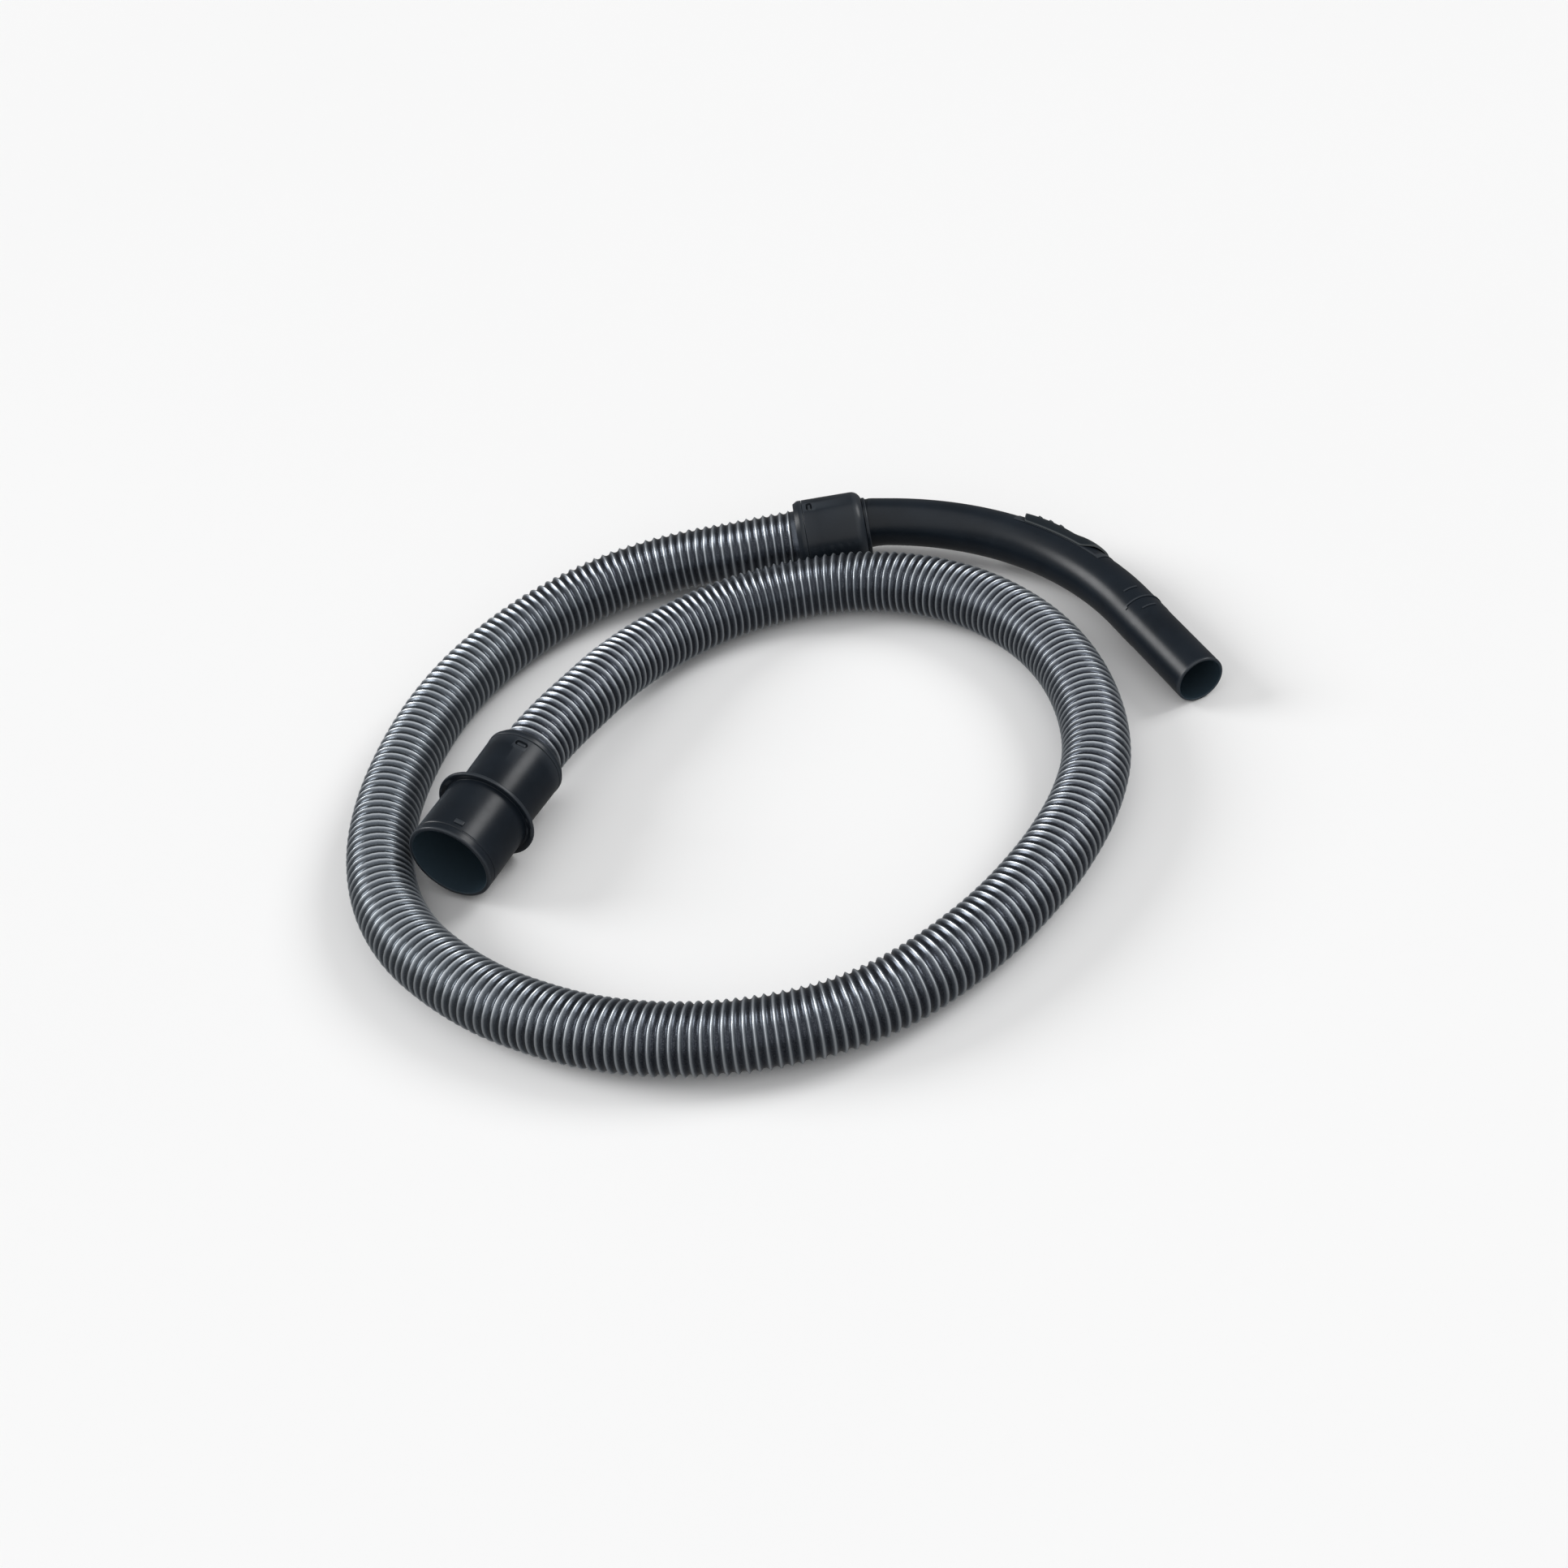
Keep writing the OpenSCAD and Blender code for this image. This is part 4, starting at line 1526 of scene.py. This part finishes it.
    def finger_rib(self, run: float) -> bpy.types.Object:
        """Models one finger rib across the slider.

        Args:
            run: Its distance from the slider's head.

        Returns:
            The rib as a closed bar.
        """
        ring = self.grip.on_bend(self.start + run, 1.0)
        away = self.grip.tube_r + self.height(run) - self.rib_sink
        deselect_all()
        bpy.ops.mesh.primitive_circle_add(
            vertices=self.rib_sides, radius=self.rib_r, fill_type="NGON", location=(0.0, away, 0.0)
        )
        rib = bpy.context.object
        rib.name = "finger_rib"
        fix_transform(rib)
        sweep("X", (0.0, 0.0, 0.0), 2 * self.rib_half_angle, self.rib_steps)
        turn_about_axis(rib, math.degrees(self.rib_half_angle))
        rib.matrix_world = Matrix.Translation((ring.x, ring.y, 0.0)) @ Matrix.Rotation(ring.heading, 4, "Z")
        fix_transform(rib)
        return rib

    def dress(self, slider: bpy.types.Object) -> None:
        """Finishes the slider and lets it stand for its node.

        Args:
            slider: The slider's object.
        """
        smooth(slider, self.shade_angle)
        set_down(slider, self.grip.place, SLIDER_PLASTIC.material(), Body.SLIDER)
        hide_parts("vent_slider")


# ---------------------------------------------------------------- connector


@dataclass
class MachineConnector:
    """The connector: sleeve, dished flange, spigot with a fine groove, and the latch bump."""

    place: Matrix
    ends: SwivelEnd
    turn: float = -20.0
    sleeve_r: float = 25.2
    sleeve_draft: float = 0.24
    root_r: float = 24.1
    flange_r: float = 31.8
    flange_front: float = 51.0
    flange_thickness: float = 2.25
    flange_rim: float = 1.6
    dish_depth: float = 0.8
    dish_edge: float = 1.2
    spigot_r: float = 27.0
    bore_r: float = 24.5
    bore_length: float = 35.0
    neck_length: float = 3.0
    length: float = 93.0
    groove_place: float = 87.7
    groove_depth: float = 0.3
    groove_half: float = 0.7
    groove_floor_half: float = 0.25
    latch_place: float = 83.2
    latch_turn: float = -20.0
    latch_size: Size = (3.0, 6.0, 2.0)
    latch_height: float = 1.0
    latch_round: float = 0.55
    bore_light_edge: float = 0.3
    shade_angle: float = 32.0

    def build(self) -> bpy.types.Object:
        """Models the connector.

        Returns:
            The connector's object.
        """
        seam = self.ends.seam + self.ends.seam_gap
        back = self.flange_front - self.flange_thickness
        dish = self.flange_front - self.dish_depth
        groove, bottom = self.groove_place, self.spigot_r - self.groove_depth
        outline = rounded(
            [
                (seam, self.ends.socket_r, 0.0),
                (seam, self.sleeve_r, self.ends.edge),
                (self.ends.window_end, self.sleeve_r - self.sleeve_draft, 0.0),
                (back, self.root_r, 1.2),
                (back, self.flange_r, 0.6),
                (self.flange_front, self.flange_r, 0.5),
                (self.flange_front, self.flange_r - self.flange_rim, 0.4),
                (dish, self.spigot_r + self.dish_edge, 0.5),
                (dish, self.spigot_r, 0.3),
                (self.latch_place - 3.0, self.spigot_r, 0.0),
                (groove - self.groove_half, self.spigot_r, 0.2),
                (groove - self.groove_floor_half, bottom, 0.1),
                (groove + self.groove_floor_half, bottom, 0.1),
                (groove + self.groove_half, self.spigot_r, 0.2),
                (self.length - 2.0, self.spigot_r, 0.0),
                (self.length, self.spigot_r, 1.0),
                (self.length, self.bore_r, 0.6),
                (self.length - self.bore_length, self.bore_r, 3.0),
                (self.ends.shoulder + self.neck_length, self.ends.neck_r, 2.0),
                (self.ends.shoulder, self.ends.neck_r, 0.0),
                (self.ends.shoulder, self.ends.socket_r, 0.0),
            ]
        )
        connector = turned("machine_connector", outline)
        self.ends.cut_windows(connector, self.turn)
        centre = (self.latch_place, 0.0, self.spigot_r + self.latch_height - self.latch_size[2] / 2)
        latch = block("latch", self.latch_size, centre, self.latch_round)
        turn_about_axis(latch, self.latch_turn)
        apply_boolean(connector, latch, "UNION")
        return connector

    def bore_light(self, point: Vector) -> float:
        """Share of painted light at a point: full in the bore in front of the flange, and none elsewhere."""
        inside = math.hypot(point.y, point.z) < self.bore_r + self.bore_light_edge
        return float(inside and point.x > self.flange_front)

    def dress(self, connector: bpy.types.Object, finish: bpy.types.Material) -> None:
        """Finishes the connector and lets it stand for its node.

        Args:
            connector: The connector's object.
            finish: Its material.
        """
        # Painted light in the bore in front of the flange.
        lay_share(connector, BORE_LIGHT_ATTRIBUTE, [self.bore_light(vertex.co) for vertex in connector.data.vertices])
        smooth(connector, self.shade_angle)
        set_down(connector, self.place, finish, Body.CONNECTOR)
        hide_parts("machine_spigot")


# ---------------------------------------------------------------- studio


@dataclass(frozen=True)
class SoftLight:
    """A far softbox, given by where it stands, its width and its light."""

    name: str
    azimuth: float
    elevation: float
    width: float
    strength: float

    def build(self) -> None:
        """Adds the lamp."""
        data = bpy.data.lights.new(self.name, "SUN")
        data.energy = self.strength
        data.angle = math.radians(self.width)
        lamp = bpy.data.objects.new(self.name, data)
        azimuth, elevation = math.radians(self.azimuth), math.radians(self.elevation)
        level = math.cos(elevation)
        source = Vector((level * math.cos(azimuth), level * math.sin(azimuth), math.sin(elevation)))
        lamp.rotation_euler = (-source).to_track_quat("-Z", "Y").to_euler()
        bpy.context.scene.collection.objects.link(lamp)


@dataclass
class Studio:
    """Pale floor, soft lamps and the camera."""

    camera_place: Place = (-0.027, -0.991, 0.78569)
    pitch_down: float = math.radians(41.149)
    roll: float = math.radians(11.596)
    sensor: float = 36.0
    lens: float = 45.151
    clip: Span = (0.05, 60.0)
    floor_side: float = 30.0
    floor_drop: float = 0.0002
    floor_colour: Colour = (0.94, 0.94, 0.94)
    floor_shade: float = 0.98
    floor_cloud_mm: float = 700.0
    floor_roughness: float = 0.9
    floor_shine: float = 0.1
    ceiling: float = 0.15
    lamps: tuple[SoftLight, ...] = (
        SoftLight("left_softbox", 158.0, 28.0, 28.0, 1.6),
        SoftLight("right_softbox", 14.0, 40.0, 26.0, 1.05),
        SoftLight("overhead_box", -90.0, 60.0, 110.0, 1.5),
    )

    def build(self) -> None:
        """Sets the camera, floor, lamps, world and view."""
        self.add_camera()
        self.add_floor()
        for lamp in self.lamps:
            lamp.build()
        self.add_ceiling()
        bpy.context.scene.view_settings.view_transform = "Standard"

    def add_camera(self) -> None:
        """Places the camera at the viewing angle, with its roll."""
        ahead = Vector((0.0, math.cos(self.pitch_down), -math.sin(self.pitch_down)))
        down = Vector((0.0, -math.sin(self.pitch_down), -math.cos(self.pitch_down)))
        across = Vector((1.0, 0.0, 0.0))
        right = math.cos(self.roll) * across + math.sin(self.roll) * down
        below = -math.sin(self.roll) * across + math.cos(self.roll) * down
        data = bpy.data.cameras.new("camera")
        data.sensor_width = self.sensor
        data.lens = self.lens
        data.clip_start, data.clip_end = self.clip
        camera = bpy.data.objects.new("camera", data)
        turn = Matrix((right, -below, -ahead)).transposed().to_4x4()
        camera.matrix_world = Matrix.Translation(self.camera_place) @ turn
        bpy.context.scene.collection.objects.link(camera)
        bpy.context.scene.camera = camera

    def add_floor(self) -> None:
        """Lays the pale floor just under the object."""
        deselect_all()
        bpy.ops.mesh.primitive_plane_add(size=self.floor_side, location=(0.0, 0.0, -self.floor_drop))
        floor = bpy.context.object
        floor.name = "studio_floor"
        fix_transform(floor)
        graph = Graph("pale_floor")
        shade = tuple(self.floor_shade * c for c in self.floor_colour)
        graph.colour(graph.ramp(graph.noise(self.floor_cloud_mm), [(0.0, shade), (1.0, self.floor_colour)]))
        graph.set("Roughness", self.floor_roughness)
        graph.set("Specular IOR Level", self.floor_shine)
        floor.data.materials.append(graph.material)
        floor.visible_glossy = False

    def add_ceiling(self) -> None:
        """Gives the world the even, dim grey of a studio's walls and ceiling."""
        world = bpy.data.worlds.new("studio")
        world.use_nodes = True
        world.node_tree.nodes["Background"].inputs["Color"].default_value = (*[self.ceiling] * 3, 1.0)
        bpy.context.scene.world = world


# ---------------------------------------------------------------- assembly


def dress_inner_nodes() -> None:
    """Gives the CAD nuts and seals their finishes."""
    nut, seal = NUT_PLASTIC.material(), RING_RUBBER.material()
    for name, finish in (("grip_nut", nut), ("machine_nut", nut), ("grip_seal", seal), ("machine_seal", seal)):
        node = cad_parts[name]
        node.data.materials.clear()
        node.data.materials.append(finish)
        log.info("%s: kept from the frame", name)


def main() -> None:
    """Builds the studio and every piece in order."""
    logging.basicConfig(level=logging.INFO, format="%(name)s: %(message)s")
    Studio().build()
    line = HoseLine()
    hose = SuctionHose(line)
    hose.dress(hose.build())
    ends = SwivelEnd()
    black = BLACK_PLASTIC.material()
    grip = GripTube(line, ends)
    grip.dress(grip.build(), black)
    slider = AirSlider(grip)
    slider.dress(slider.build())
    at_machine = placement(line.machine_face, line.machine_heading)
    connector = MachineConnector(at_machine, ends)
    connector.dress(connector.build(), black)
    for cap in (
        SnapCap("grip_snap_cap", "grip_cap", Body.GRIP, grip.place, 0.0, ends),
        SnapCap("machine_snap_cap", "machine_cap", Body.CONNECTOR, at_machine, connector.turn, ends),
    ):
        cap.dress(cap.build(), black)
    dress_inner_nodes()


if __name__ == "__main__":
    main()
